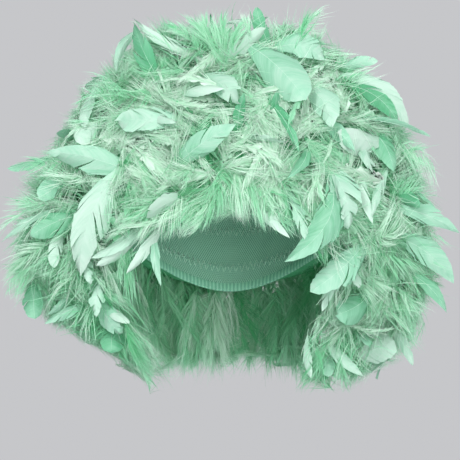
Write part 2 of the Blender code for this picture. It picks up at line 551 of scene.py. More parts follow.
@dataclass(frozen=True)
class Outline:
    """Rows of pixels with the left and right edge of the down, and of the opening in its front."""

    edges: tuple[tuple[float, float, float], ...] = (
        (-5, 250, 262), (4, 200, 330), (12, 150, 328), (20, 128, 326), (40, 122, 330), (60, 108, 378),
        (80, 78, 384), (100, 76, 392), (120, 62, 404), (140, 52, 428), (160, 18, 436), (180, 18, 438),
        (200, 6, 440), (220, -4, 446), (240, -4, 450), (260, -4, 452), (280, -2, 454), (300, 4, 446),
        (320, 34, 424), (340, 74, 420), (360, 118, 414), (380, 146, 362), (394, 152, 350), (402, 230, 232),
    )
    face: tuple[tuple[float, float, float], ...] = (
        (218, 226, 230), (230, 206, 254), (241, 174, 296), (250, 142, 316), (258, 131, 322), (290, 130, 325),
        (310, 139, 319), (330, 151, 312), (360, 156, 300), (390, 158, 297), (460, 158, 297),
    )

    @staticmethod
    def between(pixels: Array, rows: Sequence[Sequence[float]], margin: Union[Array, float]) -> Array:
        """Whether pixels lie between the left and the right edge, with so much margin outside them.

        Args:
            pixels: Columns and rows, shape (..., 2).
            rows: The row, the left and the right edge at some heights, from the top down.
            margin: How many pixels further out the edges are taken to be.

        Returns:
            Whether each pixel lies inside.
        """
        table = np.array(rows)
        left = np.interp(pixels[..., 1], table[:, 0], table[:, 1])
        right = np.interp(pixels[..., 1], table[:, 0], table[:, 2])
        inside = (pixels[..., 0] > left - margin) & (pixels[..., 0] < right + margin)
        return inside & (pixels[..., 1] > table[0, 0] - margin)


@dataclass(frozen=True)
class CapForm:
    """The form of the cap, as the wearer stretches it, and how the rows divide it."""

    breadth: float = 0.152
    length: float = 0.192
    crown_height: float = 0.095
    wall: float = 0.0015
    forehead_edge: float = 0.062
    temple_edge: float = 0.116
    nape_edge: float = 0.150
    nape_tuck: float = 0.28
    crown_share: float = 0.12
    hem_share: float = 0.985

    def halves(self) -> Array:
        """Half the breadth and the length, and the height of the dome, over the cap."""
        sizes = [self.breadth / 2, self.length / 2, self.crown_height]
        return np.array(sizes) + self.wall

    def edge_angle(self, turn: Array) -> Array:
        """The cap's edge as an angle from the crown.

        Args:
            turn: Turns round the cap.

        Returns:
            The angles, in radians.
        """
        ahead = np.cos(turn)
        end = np.where(ahead > 0, self.forehead_edge, self.nape_edge)
        depth = self.temple_edge + (end - self.temple_edge) * ahead**2
        below = (depth - self.crown_height) / self.crown_height
        above = np.arccos(np.clip(-below, 0, 1))
        return np.where(below < 0, above, math.pi / 2 + np.maximum(below, 0))

    def cap_point(self, turn: Array, share: Array, lift: float = 0.0) -> Array:
        """Points of the cap's outer side, or of one that lies so far outside it.

        Args:
            turn: Their turns round the cap.
            share: Their places from the crown to the edge.
            lift: How far outside the cap they lie.

        Returns:
            The points, shape (..., 3).
        """
        angle = share * self.edge_angle(turn)
        below = np.maximum(angle - math.pi / 2, 0)
        across = np.sin(np.minimum(angle, math.pi / 2)) * (1 - self.nape_tuck * below**2)
        height = np.where(below > 0, -below, np.cos(angle))
        x, y, z = self.halves() + lift
        return np.stack([
            x * across * np.sin(turn),
            -y * across * np.cos(turn),
            self.wall + lift + z * (height - 1),
        ], -1)

    def outward(self, turn: Array, share: Array) -> Array:
        """The direction straight out of the cap.

        Args:
            turn: Turns round the cap.
            share: Places from the crown to the edge.

        Returns:
            The directions, shape (..., 3).
        """
        angle = np.minimum(share * self.edge_angle(turn), math.pi / 2)
        x, y, z = self.halves()
        parts = [np.sin(angle) * np.sin(turn) / x, -np.sin(angle) * np.cos(turn) / y, np.cos(angle) / z]
        return unit(np.stack(parts, -1))

    def downhill(self, turn: Array, share: Array) -> Array:
        """The direction down the cap."""
        return unit(self.cap_point(turn, share + 0.01) - self.cap_point(turn, share))

    def place_of(self, points: Array) -> tuple[Array, Array]:
        """The turn and the share of the cap that each point lies over.

        Args:
            points: Points, shape (..., 3).

        Returns:
            The turns and the shares.
        """
        x, y, z = self.halves()
        height = points[..., 2] + self.crown_height
        spot = np.stack([points[..., 0] / x, points[..., 1] / y, height / z], -1)
        turn = np.arctan2(spot[..., 0], -spot[..., 1])
        flat = np.hypot(spot[..., 0], spot[..., 1])
        above = np.arctan2(flat, np.maximum(spot[..., 2], 0))
        angle = np.where(spot[..., 2] > 0, above, math.pi / 2 - spot[..., 2])
        return turn, angle / self.edge_angle(turn)

    def pitch(self) -> float:
        """The share of the cap that one row takes."""
        return (self.hem_share - self.crown_share) / (len(ROWS) - 1)

    def row_of(self, points: Array) -> Array:
        """The number of the row of feathers that each point belongs to."""
        _, share = self.place_of(points)
        row = 1 + np.floor((share - self.crown_share) / self.pitch())
        return np.clip(row, 0, len(ROWS) - 1).astype(int)

    def middle_of(self, row: int) -> float:
        """The share at the middle of a row."""
        return self.crown_share / 2 if row == 0 else self.crown_share + (row - 0.5) * self.pitch()

    def keep_out(self, points: Array, gap: float) -> Array:
        """The points, with those that lie in the cap's hollow moved out to its side.

        Args:
            points: Points, shape (..., 3).
            gap: How far outside the cap they stay.

        Returns:
            The points moved.
        """
        x, y, z = self.halves() + gap
        low = -self.crown_height
        height = np.maximum(points[..., 2] - low, 0) / z
        below = np.clip((low - points[..., 2]) / self.crown_height, 0, 1.25)
        tuck = 1 - self.nape_tuck * below**2
        reach = np.sqrt((points[..., 0] / (x * tuck)) ** 2 + (points[..., 1] / (y * tuck)) ** 2 + height**2)
        push = np.where(reach < 1, 1 / np.maximum(reach, 0.2), 1.0)[..., None]
        centre = np.zeros_like(points)
        centre[..., 2] = np.minimum(points[..., 2], low)
        return centre + (points - centre) * push


class Level(NamedTuple):
    """How far the down stands out from the middle at one height, in millimetres."""

    height: float
    left: float
    right: float
    front: float
    back: float


@dataclass(frozen=True)
class Form:
    """The outer form of the mass of down, and the opening for the face."""

    levels: tuple[Level, ...] = (
        Level(64, 4, 4, 4, 4),
        Level(60, 42, 48, 34, 50),
        Level(48, 74, 76, 62, 86),
        Level(28, 92, 98, 88, 116),
        Level(0, 116, 120, 108, 140),
        Level(-30, 134, 138, 120, 154),
        Level(-62, 152, 148, 126, 160),
        Level(-100, 164, 156, 124, 160),
        Level(-140, 164, 160, 108, 154),
        Level(-162, 150, 152, 92, 148),
        Level(-182, 116, 138, 70, 142),
        Level(-205, 80, 116, 44, 130),
        Level(-222, 58, 84, 30, 108),
    )
    seek_from: float = -0.05
    seek_steps: int = 12
    face_top: float = -0.096
    face_levels: tuple[float, ...] = (-0.096, -0.106, -0.125, -0.150, -0.175, -0.200, -0.225)
    face_halves: tuple[float, ...] = (0.010, 0.056, 0.074, 0.072, 0.062, 0.055, 0.052)

    def lowest(self) -> float:
        """The height of the form's lower end."""
        return self.levels[-1].height * MILLIMETRE

    def reaches(self, height: Array) -> tuple[Array, Array, Array, Array]:
        """How far the form stands out at a height: left, right, front and back."""
        table = np.array(self.levels[::-1]) * MILLIMETRE
        return tuple(np.interp(height, table[:, 0], table[:, column]) for column in range(1, 5))

    def fill(self, points: Array) -> Array:
        """How far out the points lie, 1 on the form's surface.

        Args:
            points: Points, shape (..., 3).

        Returns:
            The fills, shape (...).
        """
        left, right, front, back = self.reaches(points[..., 2])
        across = points[..., 0] / np.where(points[..., 0] < 0, left, right)
        along = points[..., 1] / np.where(points[..., 1] < 0, front, back)
        over = np.maximum(points[..., 2] - self.levels[0].height * MILLIMETRE, 0) / (20 * MILLIMETRE)
        return np.sqrt(across**2 + along**2) + over

    def surface(self, turn: Array, height: Array) -> Array:
        """Points of the surface.

        Args:
            turn: Their turns round the wig.
            height: Their heights.

        Returns:
            The points.
        """
        left, right, front, back = self.reaches(height)
        across, along = np.sin(turn), -np.cos(turn)
        x = across * np.where(across < 0, left, right)
        y = along * np.where(along < 0, front, back)
        return np.stack([x, y, height], -1)

    def normal(self, points: Array) -> Array:
        """The direction out of the form at some points.

        Args:
            points: Points, shape (..., 3).

        Returns:
            The directions.
        """
        step = 4 * MILLIMETRE
        slopes = []
        for axis in range(3):
            shift = np.zeros(3)
            shift[axis] = step
            slopes.append(self.fill(points + shift) - self.fill(points - shift))
        return unit(np.stack(slopes, -1))

    def seen_at(self, pixels: Array, view: Viewpoint) -> Array:
        """The points of the front that the photograph shows at some pixels."""
        depth = np.full(len(pixels), self.seek_from)
        for _ in range(self.seek_steps):
            points = view.at_depth(pixels, depth)
            left, right, front, _ = self.reaches(points[:, 2])
            across = points[:, 0] / np.where(points[:, 0] < 0, left, right)
            depth = 0.5 * depth - 0.5 * front * np.sqrt(np.clip(1 - across**2, 0, 1))
        return view.at_depth(pixels, depth)

    def over_face(self, points: Array, margin: float = 0.0) -> Array:
        """Whether points lie in the opening for the face.

        Args:
            points: Points, shape (..., 3).
            margin: How much wider the opening is taken to be.

        Returns:
            Whether each point does.
        """
        half = np.interp(points[..., 2], self.face_levels[::-1], self.face_halves[::-1]) + margin
        low = points[..., 2] < self.face_top + margin
        return low & (points[..., 1] < 0) & (np.abs(points[..., 0]) < half)

    def pull_in(self, points: Array, slack: float) -> Array:
        """The points, with those that lie further out than the slack brought back to it.

        Args:
            points: Points, shape (..., 3).
            slack: How far out of the form they may lie.

        Returns:
            The points moved.
        """
        moved = points.copy()
        for _ in range(3):
            fill = self.fill(moved)
            scale = np.where(fill > 1 + slack, (1 + slack) / np.maximum(fill, 1e-6), 1.0)[..., None]
            centre = np.zeros_like(moved)
            centre[..., 2] = np.minimum(moved[..., 2], -20 * MILLIMETRE)
            moved = centre + (moved - centre) * scale
        return moved


# Feathers


@dataclass
class Quills:
    """A batch of shafts, each a cubic curve with a side that turns outward."""

    points: Array
    faces: Array

    @staticmethod
    def bent(root: Array, way: Array, tip: Array, faces: Array, arch: Array) -> "Quills":
        """Shafts that leave their root one way and arch over to their tip.

        Args:
            root: Where they start, shape (N, 3).
            way: The direction in which they start.
            tip: Where they end.
            faces: The direction that their faces turn to.
            arch: How far they rise toward their faces on the way, in metres, shape (N,).

        Returns:
            The shafts.
        """
        length = np.linalg.norm(tip - root, axis=-1, keepdims=True)
        rise = faces * arch[:, None]
        near = root + way * length * 0.36 + rise * 0.5
        far = tip - (tip - root) * 0.30 + rise * 1.1
        return Quills(np.stack([root, near, far, tip], 1), faces)

    def count(self) -> int:
        """How many shafts there are."""
        return len(self.points)

    def chosen(self, which: Array) -> "Quills":
        """Some of the shafts."""
        return Quills(self.points[which], self.faces[which])

    def frame_at(self, along: Array) -> tuple[Array, Array, Array, Array]:
        """Places along each shaft, and the directions there.

        Args:
            along: From 0 at the root to 1 at the tip, shape (N, M).

        Returns:
            The places, and the directions along, sideways and out of the face, each (N, M, 3).
        """
        t = along[..., None]
        a, b, c, d = (self.points[:, None, corner] for corner in range(4))
        s = 1 - t
        place = s**3 * a + 3 * s**2 * t * b + 3 * s * t**2 * c + t**3 * d
        ahead = unit(3 * s**2 * (b - a) + 6 * s * t * (c - b) + 3 * t**2 * (d - c))
        side = cross(ahead, np.broadcast_to(self.faces[:, None], ahead.shape))
        return place, ahead, side, cross(side, ahead)


@dataclass
class Strands:
    """Fine barbs of down, and locks of them: tapered ribbons that curve, in one batch."""

    SECTIONS = (0.0, 0.34, 0.70)
    BREADTHS = (0.75, 1.0, 0.62)
    TONES = 32

    root: Array
    way: Array
    bend: Array
    length: Array
    width: Array
    face: Array
    tone: Array

    def chosen(self, which: Array) -> "Strands":
        """Some of the ribbons."""
        return Strands(*(getattr(self, name)[which] for name in self.__dataclass_fields__))

    @staticmethod
    def join(batches: Sequence["Strands"]) -> "Strands":
        """One batch that holds all of the batches."""
        names = Strands.__dataclass_fields__
        return Strands(*(np.concatenate([getattr(batch, name) for batch in batches]) for name in names))

    def at(self, share: float) -> Array:
        """The places at one share of their length."""
        return self.root + self.length[:, None] * (share * self.way + 0.5 * share**2 * self.bend)

    def patch(self) -> Patch:
        """The ribbons, of three stretches each.

        Returns:
            The surface of all of them.
        """
        sections = np.array(self.SECTIONS + (1.0,))
        path = np.stack([self.at(share) for share in sections], 1)
        ahead = unit(self.way[:, None] + sections[None, :, None] * self.bend[:, None])
        side = cross(ahead, np.broadcast_to(self.face[:, None], ahead.shape))[:, :-1]
        half = 0.5 * self.width[:, None, None] * np.array(self.BREADTHS)[None, :, None]
        count, steps = len(self.root), len(self.SECTIONS)
        edges = np.stack([path[:, :-1] - side * half, path[:, :-1] + side * half], 2)
        points = np.concatenate([edges.reshape(count, 2 * steps, 3), path[:, -1:]], 1)
        start = np.arange(count)[:, None] * (2 * steps + 1)
        quads = [start + np.array([[2 * k, 2 * k + 1, 2 * k + 3, 2 * k + 2]]) for k in range(steps - 1)]
        last = 2 * (steps - 1)
        triangles = start + np.array([[last, last + 1, last + 2]])
        cell = np.floor(np.clip(self.tone, 0, 0.999) * self.TONES)
        along = 0.02 + 0.96 * sections
        spots = np.empty((count, 2 * steps + 1, 2))
        spots[:, :-1, 0] = np.repeat(along[:-1], 2)
        spots[:, -1, 0] = along[-1]
        across = np.append(np.tile([0.10, 0.90], steps), 0.5)
        spots[:, :, 1] = (cell[:, None] + across) / self.TONES
        tones = np.repeat((cell + 0.5) / self.TONES, 2 * steps + 1)
        return Patch(points.reshape(-1, 3), np.concatenate(quads), triangles, spots.reshape(-1, 2), tones)


@dataclass(frozen=True)
class DownPlumes:
    """Marabou plumes: shafts with long loose barbs in wisps that draw together."""

    clumps: int = 9
    in_clump: int = 6
    barb: float = 29 * MILLIMETRE
    width: float = 0.40 * MILLIMETRE
    open_root: float = 1.20
    open_tip: float = 0.32
    puff: float = 0.42
    droop: float = 0.18
    first_barb: float = 0.12
    reach_at_root: float = 1.10
    reach_lost: float = 0.50
    reach_range: tuple[float, float] = (0.75, 1.15)
    sleekness: float = 0.55
    clump_curl: float = 0.45
    barb_curl: float = 0.20
    sleek_tone: float = 0.16
    tone_chance: float = 0.11

    def make(self, quills: Quills, scale: Array, tone: Array, luck: Luck) -> Strands:
        """Builds the fine barbs of each plume.

        Args:
            quills: The plumes' shafts.
            scale: How long each plume's barbs are, of the usual length, shape (N,).
            tone: Each plume's tone.
            luck: Where chance comes from.

        Returns:
            All the barbs.
        """
        count = quills.count()
        heads = 2 * self.clumps
        along = (np.arange(heads) // 2 + luck.uniform(0.1, 0.9, (count, heads))) / self.clumps
        along = self.first_barb + (1 - self.first_barb) * along
        hand = np.where(np.arange(heads) % 2, 1.0, -1.0)[None]
        opening = self.open_root + (self.open_tip - self.open_root) * along
        opening = opening * luck.uniform(0.80, 1.20, along.shape)
        tilt = luck.normal(0, self.puff, along.shape)
        reach = self.barb * scale[:, None] * (self.reach_at_root - self.reach_lost * along)
        reach = reach * luck.uniform(*self.reach_range, along.shape)
        sleek = luck.random((count, 1)) ** 1.5
        opening = opening * (1 - self.sleekness * sleek)
        tilt = tilt * (1 - self.sleekness * sleek)
        curl = luck.normal(0, self.clump_curl, (count, 1, 3))
        curl = np.repeat(curl + luck.normal(0, self.barb_curl, (*along.shape, 3)), self.in_clump, 1)

        def spread(values: Array, jitter: float) -> Array:
            """The values of the clumps, repeated for their barbs with some chance added."""
            wide = np.repeat(values, self.in_clump, 1)
            return wide + luck.normal(0, jitter, wide.shape)

        along = np.clip(spread(along, 0.50 / self.clumps), 0.02, 1.0)
        opening, tilt = spread(opening, 0.08), spread(tilt, 0.12)
        hand = np.broadcast_to(np.repeat(hand, self.in_clump, 1), along.shape)
        reach = spread(reach, 0.0) * luck.uniform(*self.reach_range, along.shape)
        place, ahead, side, out = quills.frame_at(along)
        sideways = side * (hand * np.cos(tilt))[..., None] + out * np.sin(tilt)[..., None]
        way = ahead * np.cos(opening)[..., None] + sideways * np.sin(opening)[..., None]
        bend = ahead * 0.60 - sideways * 0.40 + DOWNWARD * self.droop + curl
        bend = bend + luck.normal(0, 0.12, way.shape)
        face = unit(out + luck.normal(0, 0.45, out.shape))
        shade = tone[:, None] + self.sleek_tone * (sleek - 0.3)
        shade = shade + luck.normal(0, self.tone_chance, along.shape)
        width = luck.uniform(0.65, 1.35, along.shape) * self.width
        flat = (-1, 3)
        return Strands(place.reshape(flat), way.reshape(flat), bend.reshape(flat), reach.ravel(),
                       width.ravel(), face.reshape(flat), np.clip(shade, 0, 1).ravel())


class VaneAtlas:
    """The map of the smooth vanes: square cells with a vane in each, and a strip for shafts."""

    CELLS = 4
    TOP = 0.94

    @staticmethod
    def vane_spots(cell: Array, along: Array, across: Array) -> Array:
        """Places on the map.

        Args:
            cell: The number of each feather's cell, shape (N,).
            along: Places from quill to tip, from 0 to 1, shape (N, M).
            across: Places from edge to edge, from 0 to 1.

        Returns:
            The places, shape (N, M, 2).
        """
        column, row = cell % VaneAtlas.CELLS, cell // VaneAtlas.CELLS
        u = (column[:, None] + 0.03 + 0.94 * along) / VaneAtlas.CELLS
        v = (row[:, None] + 0.03 + 0.94 * across) / VaneAtlas.CELLS * VaneAtlas.TOP
        return np.stack([u, v], -1)


@dataclass
class Vanes:
    """A batch of smooth feathers: shafts, widths, shapes and tones."""

    MEASURES = ("width", "blunt", "cup", "tone", "fray", "seen")

    quills: Quills
    width: Array
    blunt: Array
    cup: Array
    tone: Array
    fray: Array
    seen: Array

    def chosen(self, which: Array) -> "Vanes":
        """Some of the feathers."""
        rest = [getattr(self, name)[which] for name in self.MEASURES]
        return Vanes(self.quills.chosen(which), *rest)

    @staticmethod
    def join(batches: Sequence["Vanes"]) -> "Vanes":
        """One batch that holds all of the batches."""
        quills = Quills(np.concatenate([b.quills.points for b in batches]),
                        np.concatenate([b.quills.faces for b in batches]))
        rest = [np.concatenate([getattr(batch, name) for batch in batches]) for name in Vanes.MEASURES]
        return Vanes(quills, *rest)


@dataclass(frozen=True)
class VaneMaker:
    """Builds smooth feathers barb by barb, so that they split where real ones do."""

    barbs: int = 22
    steps: int = 3
    bare: float = 0.10
    advance: float = 0.42
    split_chance: float = 0.16
    opening: float = 0.045
    wave: float = 0.06
    ragged: float = 0.08
    twist: float = 0.70
    paler: float = 0.22
    shaft_rings: int = 8
    shaft_sides: int = 3
    shaft_radius: float = 0.40 * MILLIMETRE
    shaft_end: float = 0.96
    shaft_taper: float = 0.8
    shaft_tone: float = 0.9
    last_foot: float = 0.95
    cell_chance: float = 0.05
    rise_from: float = 0.03
    rise_over: float = 0.58
    twist_from: float = 0.3

    def vane(self, vanes: Vanes, luck: Luck) -> Patch:
        """The barbs on both sides of each shaft, as a surface that opens where they split.

        Args:
            vanes: The feathers.
            luck: Where chance comes from.

        Returns:
            The surface.
        """
        count, lines = vanes.quills.count(), self.barbs + 1
        frayed = vanes.fray[:, None, None]
        splits = luck.random((count, 2, lines)) < self.split_chance * frayed
        splits[..., :3] = False
        splits[..., -2:] = False
        splits[..., 1:] &= ~splits[..., :-1]
        group = np.cumsum(splits, -1)
        before = np.concatenate([group[..., :1], group[..., :-1]], -1)
        fray = 1 + 4 * np.clip(0.35 - np.linspace(0, 1, lines), 0, 1)
        fringe = 1 - np.clip(self.ragged * fray * frayed, 0, 0.75) * luck.random((count, 2, lines)) ** 1.5
        calm = np.where(vanes.seen, 0.5, 1.0)[:, None, None]
        hands = 1.0 + luck.uniform(-0.26, 0.26, (count, 1, 1)) * calm * np.array([-1.0, 1.0])[:, None]
        twist = luck.normal(0, self.twist, (count, 1, 1, 1)) * calm[..., None]
        chance = luck.normal(0, 1, (count, 2, lines, 3)) * np.clip(frayed, 1, 1.8)[..., None]
        sheets = [self._lines(vanes, np.take_along_axis(chance, which[..., None].repeat(3, -1), 2),
                              fringe, hands, twist) for which in (group, before)]
        points = np.concatenate([sheet.reshape(count, 2, -1, 3) for sheet in sheets], 2)
        columns = self.steps + 1
        half = lines * columns
        corner = np.arange(half).reshape(lines, columns)
        upper = np.where(splits[..., 1:, None], corner[1:] + half, corner[1:])
        upper = np.broadcast_to(upper, (count, 2, self.barbs, columns))
        lower = np.broadcast_to(corner[:-1], upper.shape)
        quads = np.stack([lower[..., :-1], upper[..., :-1], upper[..., 1:], lower[..., 1:]], -1)
        quads = quads + (np.arange(count * 2).reshape(count, 2) * 2 * half)[..., None, None, None]
        quads[:, 0] = quads[:, 0, ..., ::-1]
        spots, tones = self._spots(vanes, luck)
        return Patch(points.reshape(-1, 3), quads.reshape(-1, 4), NO_TRIANGLES,
                     spots.reshape(-1, 2), tones).without_loose_points()

    def _spots(self, vanes: Vanes, luck: Luck) -> tuple[Array, Array]:
        """The places on the map and the tones of all the points of the sheets.

        Args:
            vanes: The feathers.
            luck: Where chance comes from.

        Returns:
            The places and the tones.
        """
        count, lines, columns = vanes.quills.count(), self.barbs + 1, self.steps + 1
        cells = VaneAtlas.CELLS**2
        shade = np.clip(vanes.tone + luck.normal(0, self.cell_chance, count), 0, 0.999)
        cell = np.floor(shade * cells).astype(int)
        r = np.linspace(0, 1, columns)
        hand = np.array([-1.0, 1.0])[:, None, None, None]
        shape = (count, 2, 2, lines, columns)
        spread = np.broadcast_to(0.5 + 0.5 * hand * r, shape).reshape(count, -1)
        level = np.broadcast_to(np.linspace(0, 1, lines)[:, None], shape).reshape(count, -1)
        spots = VaneAtlas.vane_spots(cell, level, spread)
        return spots, ((cell[:, None] + 0.5) / cells + self.paler * (level - 0.6)).ravel()

    def _lines(self, vanes: Vanes, chance: Array, fringe: Array, hands: Array, twist: Array) -> Array:
        """The points of the lines of barbs, shape (count, 2, lines, steps + 1, 3).

        Args:
            vanes: The feathers.
            chance: What chance gives each line's group: more reach, more width and more lift.
            fringe: How long each line is, of its full length.
            hands: How wide each side is, of its full width.
            twist: How far the tip is turned about the shaft.

        Returns:
            The points.
        """
        count, lines = vanes.quills.count(), self.barbs + 1
        place = np.linspace(0, 1, lines)
        foot = self.bare + (self.last_foot - self.bare) * place
        end = foot + (1 - foot) * self.advance + self.opening * chance[..., 0] * (1 - place)
        end = np.clip(end, foot, 1.0)
        end[..., -1] = 1.0
        rise = np.clip((end - self.rise_from) / self.rise_over, 0, 1) ** 0.85
        blunt = vanes.blunt[:, None, None]
        tip = np.clip(1 - end**blunt, 0, 1) ** np.clip(1.16 - 0.14 * blunt, 0.50, 1.0)
        half = vanes.width[:, None, None] / 2 * rise * tip * hands * (1 + 0.05 * chance[..., 1]) * fringe
        half[..., -1] = 0
        r = np.linspace(0, 1, self.steps + 1)
        along = foot[None, None, :, None] + (end - foot)[..., None] * r**1.25
        across = half[..., None] * r**0.9
        hand = np.array([-1.0, 1.0])[None, :, None, None]
        width = vanes.width[:, None, None, None]
        lift = -vanes.cup[:, None, None, None] * across**2 / (width / 2)
        lift = lift + self.wave * width * chance[..., 2][..., None] * r**2
        lift = lift + twist * across * hand * (along - self.twist_from)
        spot, _, side, out = vanes.quills.frame_at(along.reshape(count, -1))
        points = spot + side * (across * hand).reshape(count, -1, 1) + out * lift.reshape(count, -1, 1)
        return points.reshape(*along.shape, 3)

    def shafts(self, vanes: Vanes) -> Patch:
        """The shafts, which taper to the tip and start inside the down.

        Args:
            vanes: The feathers.

        Returns:
            The surface of all of them.
        """
        count = vanes.quills.count()
        along = np.broadcast_to(np.linspace(0, self.shaft_end, self.shaft_rings), (count, self.shaft_rings))
        place, _, side, out = vanes.quills.frame_at(along)
        angle = np.arange(self.shaft_sides) / self.shaft_sides * FULL_TURN + math.pi / 2
        radius = self.shaft_radius * (1 - self.shaft_taper * along)[..., None, None]
        ring = side[:, :, None] * np.cos(angle)[:, None] + out[:, :, None] * np.sin(angle)[:, None]
        points = place[:, :, None] + ring * radius
        size = self.shaft_rings * self.shaft_sides
        corner = np.arange(size).reshape(self.shaft_rings, self.shaft_sides)
        after = np.roll(corner, -1, 1)
        quads = np.stack([corner[:-1], after[:-1], after[1:], corner[1:]], -1).reshape(1, -1, 4)
        quads = (quads + (np.arange(count) * size)[:, None, None]).reshape(-1, 4)
        u = np.repeat(along[0], self.shaft_sides)
        v = np.tile(np.linspace(VaneAtlas.TOP + 0.012, 0.99, self.shaft_sides), self.shaft_rings)
        spots = np.tile(np.stack([u, v], -1), (count, 1))
        tones = np.full(count * size, self.shaft_tone)
        return Patch(points.reshape(-1, 3), quads, NO_TRIANGLES, spots, tones)


@dataclass(frozen=True)
class SoftVaneMaker(VaneMaker):
    """Builds the loose inner sheets of downy feathers, open and ragged at their edges."""

    barbs: int = 15
    steps: int = 2
    bare: float = 0.03
    advance: float = 0.36
    split_chance: float = 0.40
    opening: float = 0.050
    wave: float = 0.10
    ragged: float = 0.72

    def _spots(self, vanes: Vanes, luck: Luck) -> tuple[Array, Array]:
        """The places on the map of the down and the tones, with barbs that run along the map.

        Args:
            vanes: The sheets.
            luck: Where chance comes from.

        Returns:
            The places and the tones.
        """
        count, lines, columns = vanes.quills.count(), self.barbs + 1, self.steps + 1
        shade = np.clip(vanes.tone + luck.normal(0, self.cell_chance, count), 0, 0.999)
        cell = np.floor(shade * Strands.TONES)
        shape = (count, 2, 2, lines, columns)
        weave = 1 - np.abs((np.arange(lines) * 0.3) % 2 - 1)
        along = np.broadcast_to(0.25 + 0.70 * np.linspace(0, 1, columns), shape).reshape(count, -1)
        across = np.broadcast_to(0.08 + 0.84 * weave[:, None], shape).reshape(count, -1)
        spots = np.stack([along, (cell[:, None] + across) / Strands.TONES], -1)
        return spots, np.repeat((cell + 0.5) / Strands.TONES, spots.shape[1])


class Light(NamedTuple):
    """A square soft light: its place and size in metres, and its power in watts."""

    name: str
    place: tuple[float, float, float]
    size: float
    power: float


@dataclass(frozen=True)
class Studio:
    """The pale floor, the soft lights and the camera."""

    view: Viewpoint = Viewpoint()
    floor_height: float = -0.45
    floor_radius: float = 1.0
    backdrop: Colour = (0.565, 0.570, 0.588)
    fill: float = 0.52
    lights: tuple[Light, ...] = (
        Light("key_light", (-0.55, -1.45, 0.80), 0.60, 28),
        Light("front_light", (0.40, -1.65, 0.15), 0.90, 27),
        Light("side_light", (1.45, 0.10, 0.55), 0.80, 9),
        Light("back_light", (-0.60, 1.50, 0.90), 1.00, 13),
    )

    def make_floor(self) -> None:
        """The floor, a wide disc well under the wig."""
        bpy.ops.mesh.primitive_circle_add(vertices=96, radius=self.floor_radius, fill_type="NGON")
        floor = bpy.context.object
        floor.name = "studio_floor"
        floor.location.z = self.floor_height
        floor.data.materials.append(FloorFinish().make())

    def make_light(self, light: Light) -> None:
        """A soft light that points at the middle of the wig."""
        lamp = bpy.data.lights.new(light.name, "AREA")
        lamp.size = light.size
        lamp.energy = light.power
        made = bpy.data.objects.new(light.name, lamp)
        made.location = light.place
        aim = Vector((0, 0, self.view.height)) - made.location
        made.rotation_euler = aim.to_track_quat("-Z", "Y").to_euler()
        bpy.context.scene.collection.objects.link(made)

    def make_camera(self) -> None:
        """The camera, at the photograph's viewing angle."""
        camera = bpy.data.cameras.new("photograph_view")
        camera.lens = self.view.lens()
        camera.sensor_width = self.view.sensor
        camera.clip_end = 20
        made = bpy.data.objects.new("photograph_view", camera)
        made.location = (0, -self.view.distance, self.view.height)
        made.rotation_euler = (math.pi / 2, 0, 0)
        bpy.context.scene.collection.objects.link(made)
        bpy.context.scene.camera = made

    def make_world(self) -> None:
        """The backdrop, even and pale, which also gives the fill light."""
        world = bpy.data.worlds.new("backdrop")
        world.use_nodes = True
        nodes, links = world.node_tree.nodes, world.node_tree.links
        seen = nodes["Background"]
        seen.inputs["Color"].default_value = (*self.backdrop, 1)
        lit = nodes.new("ShaderNodeBackground")
        lit.inputs["Color"].default_value = (*self.backdrop, 1)
        lit.inputs["Strength"].default_value = self.fill
        ray = nodes.new("ShaderNodeLightPath")
        both = nodes.new("ShaderNodeMixShader")
        links.new(ray.outputs["Is Camera Ray"], both.inputs[0])
        links.new(lit.outputs[0], both.inputs[1])
        links.new(seen.outputs[0], both.inputs[2])
        links.new(both.outputs[0], nodes["World Output"].inputs["Surface"])
        bpy.context.scene.world = world

    def build(self) -> None:
        """Sets the whole studio up."""
        self.make_world()
        self.make_floor()
        for light in self.lights:
            self.make_light(light)
        self.make_camera()
        bpy.context.scene.view_settings.view_transform = "Standard"


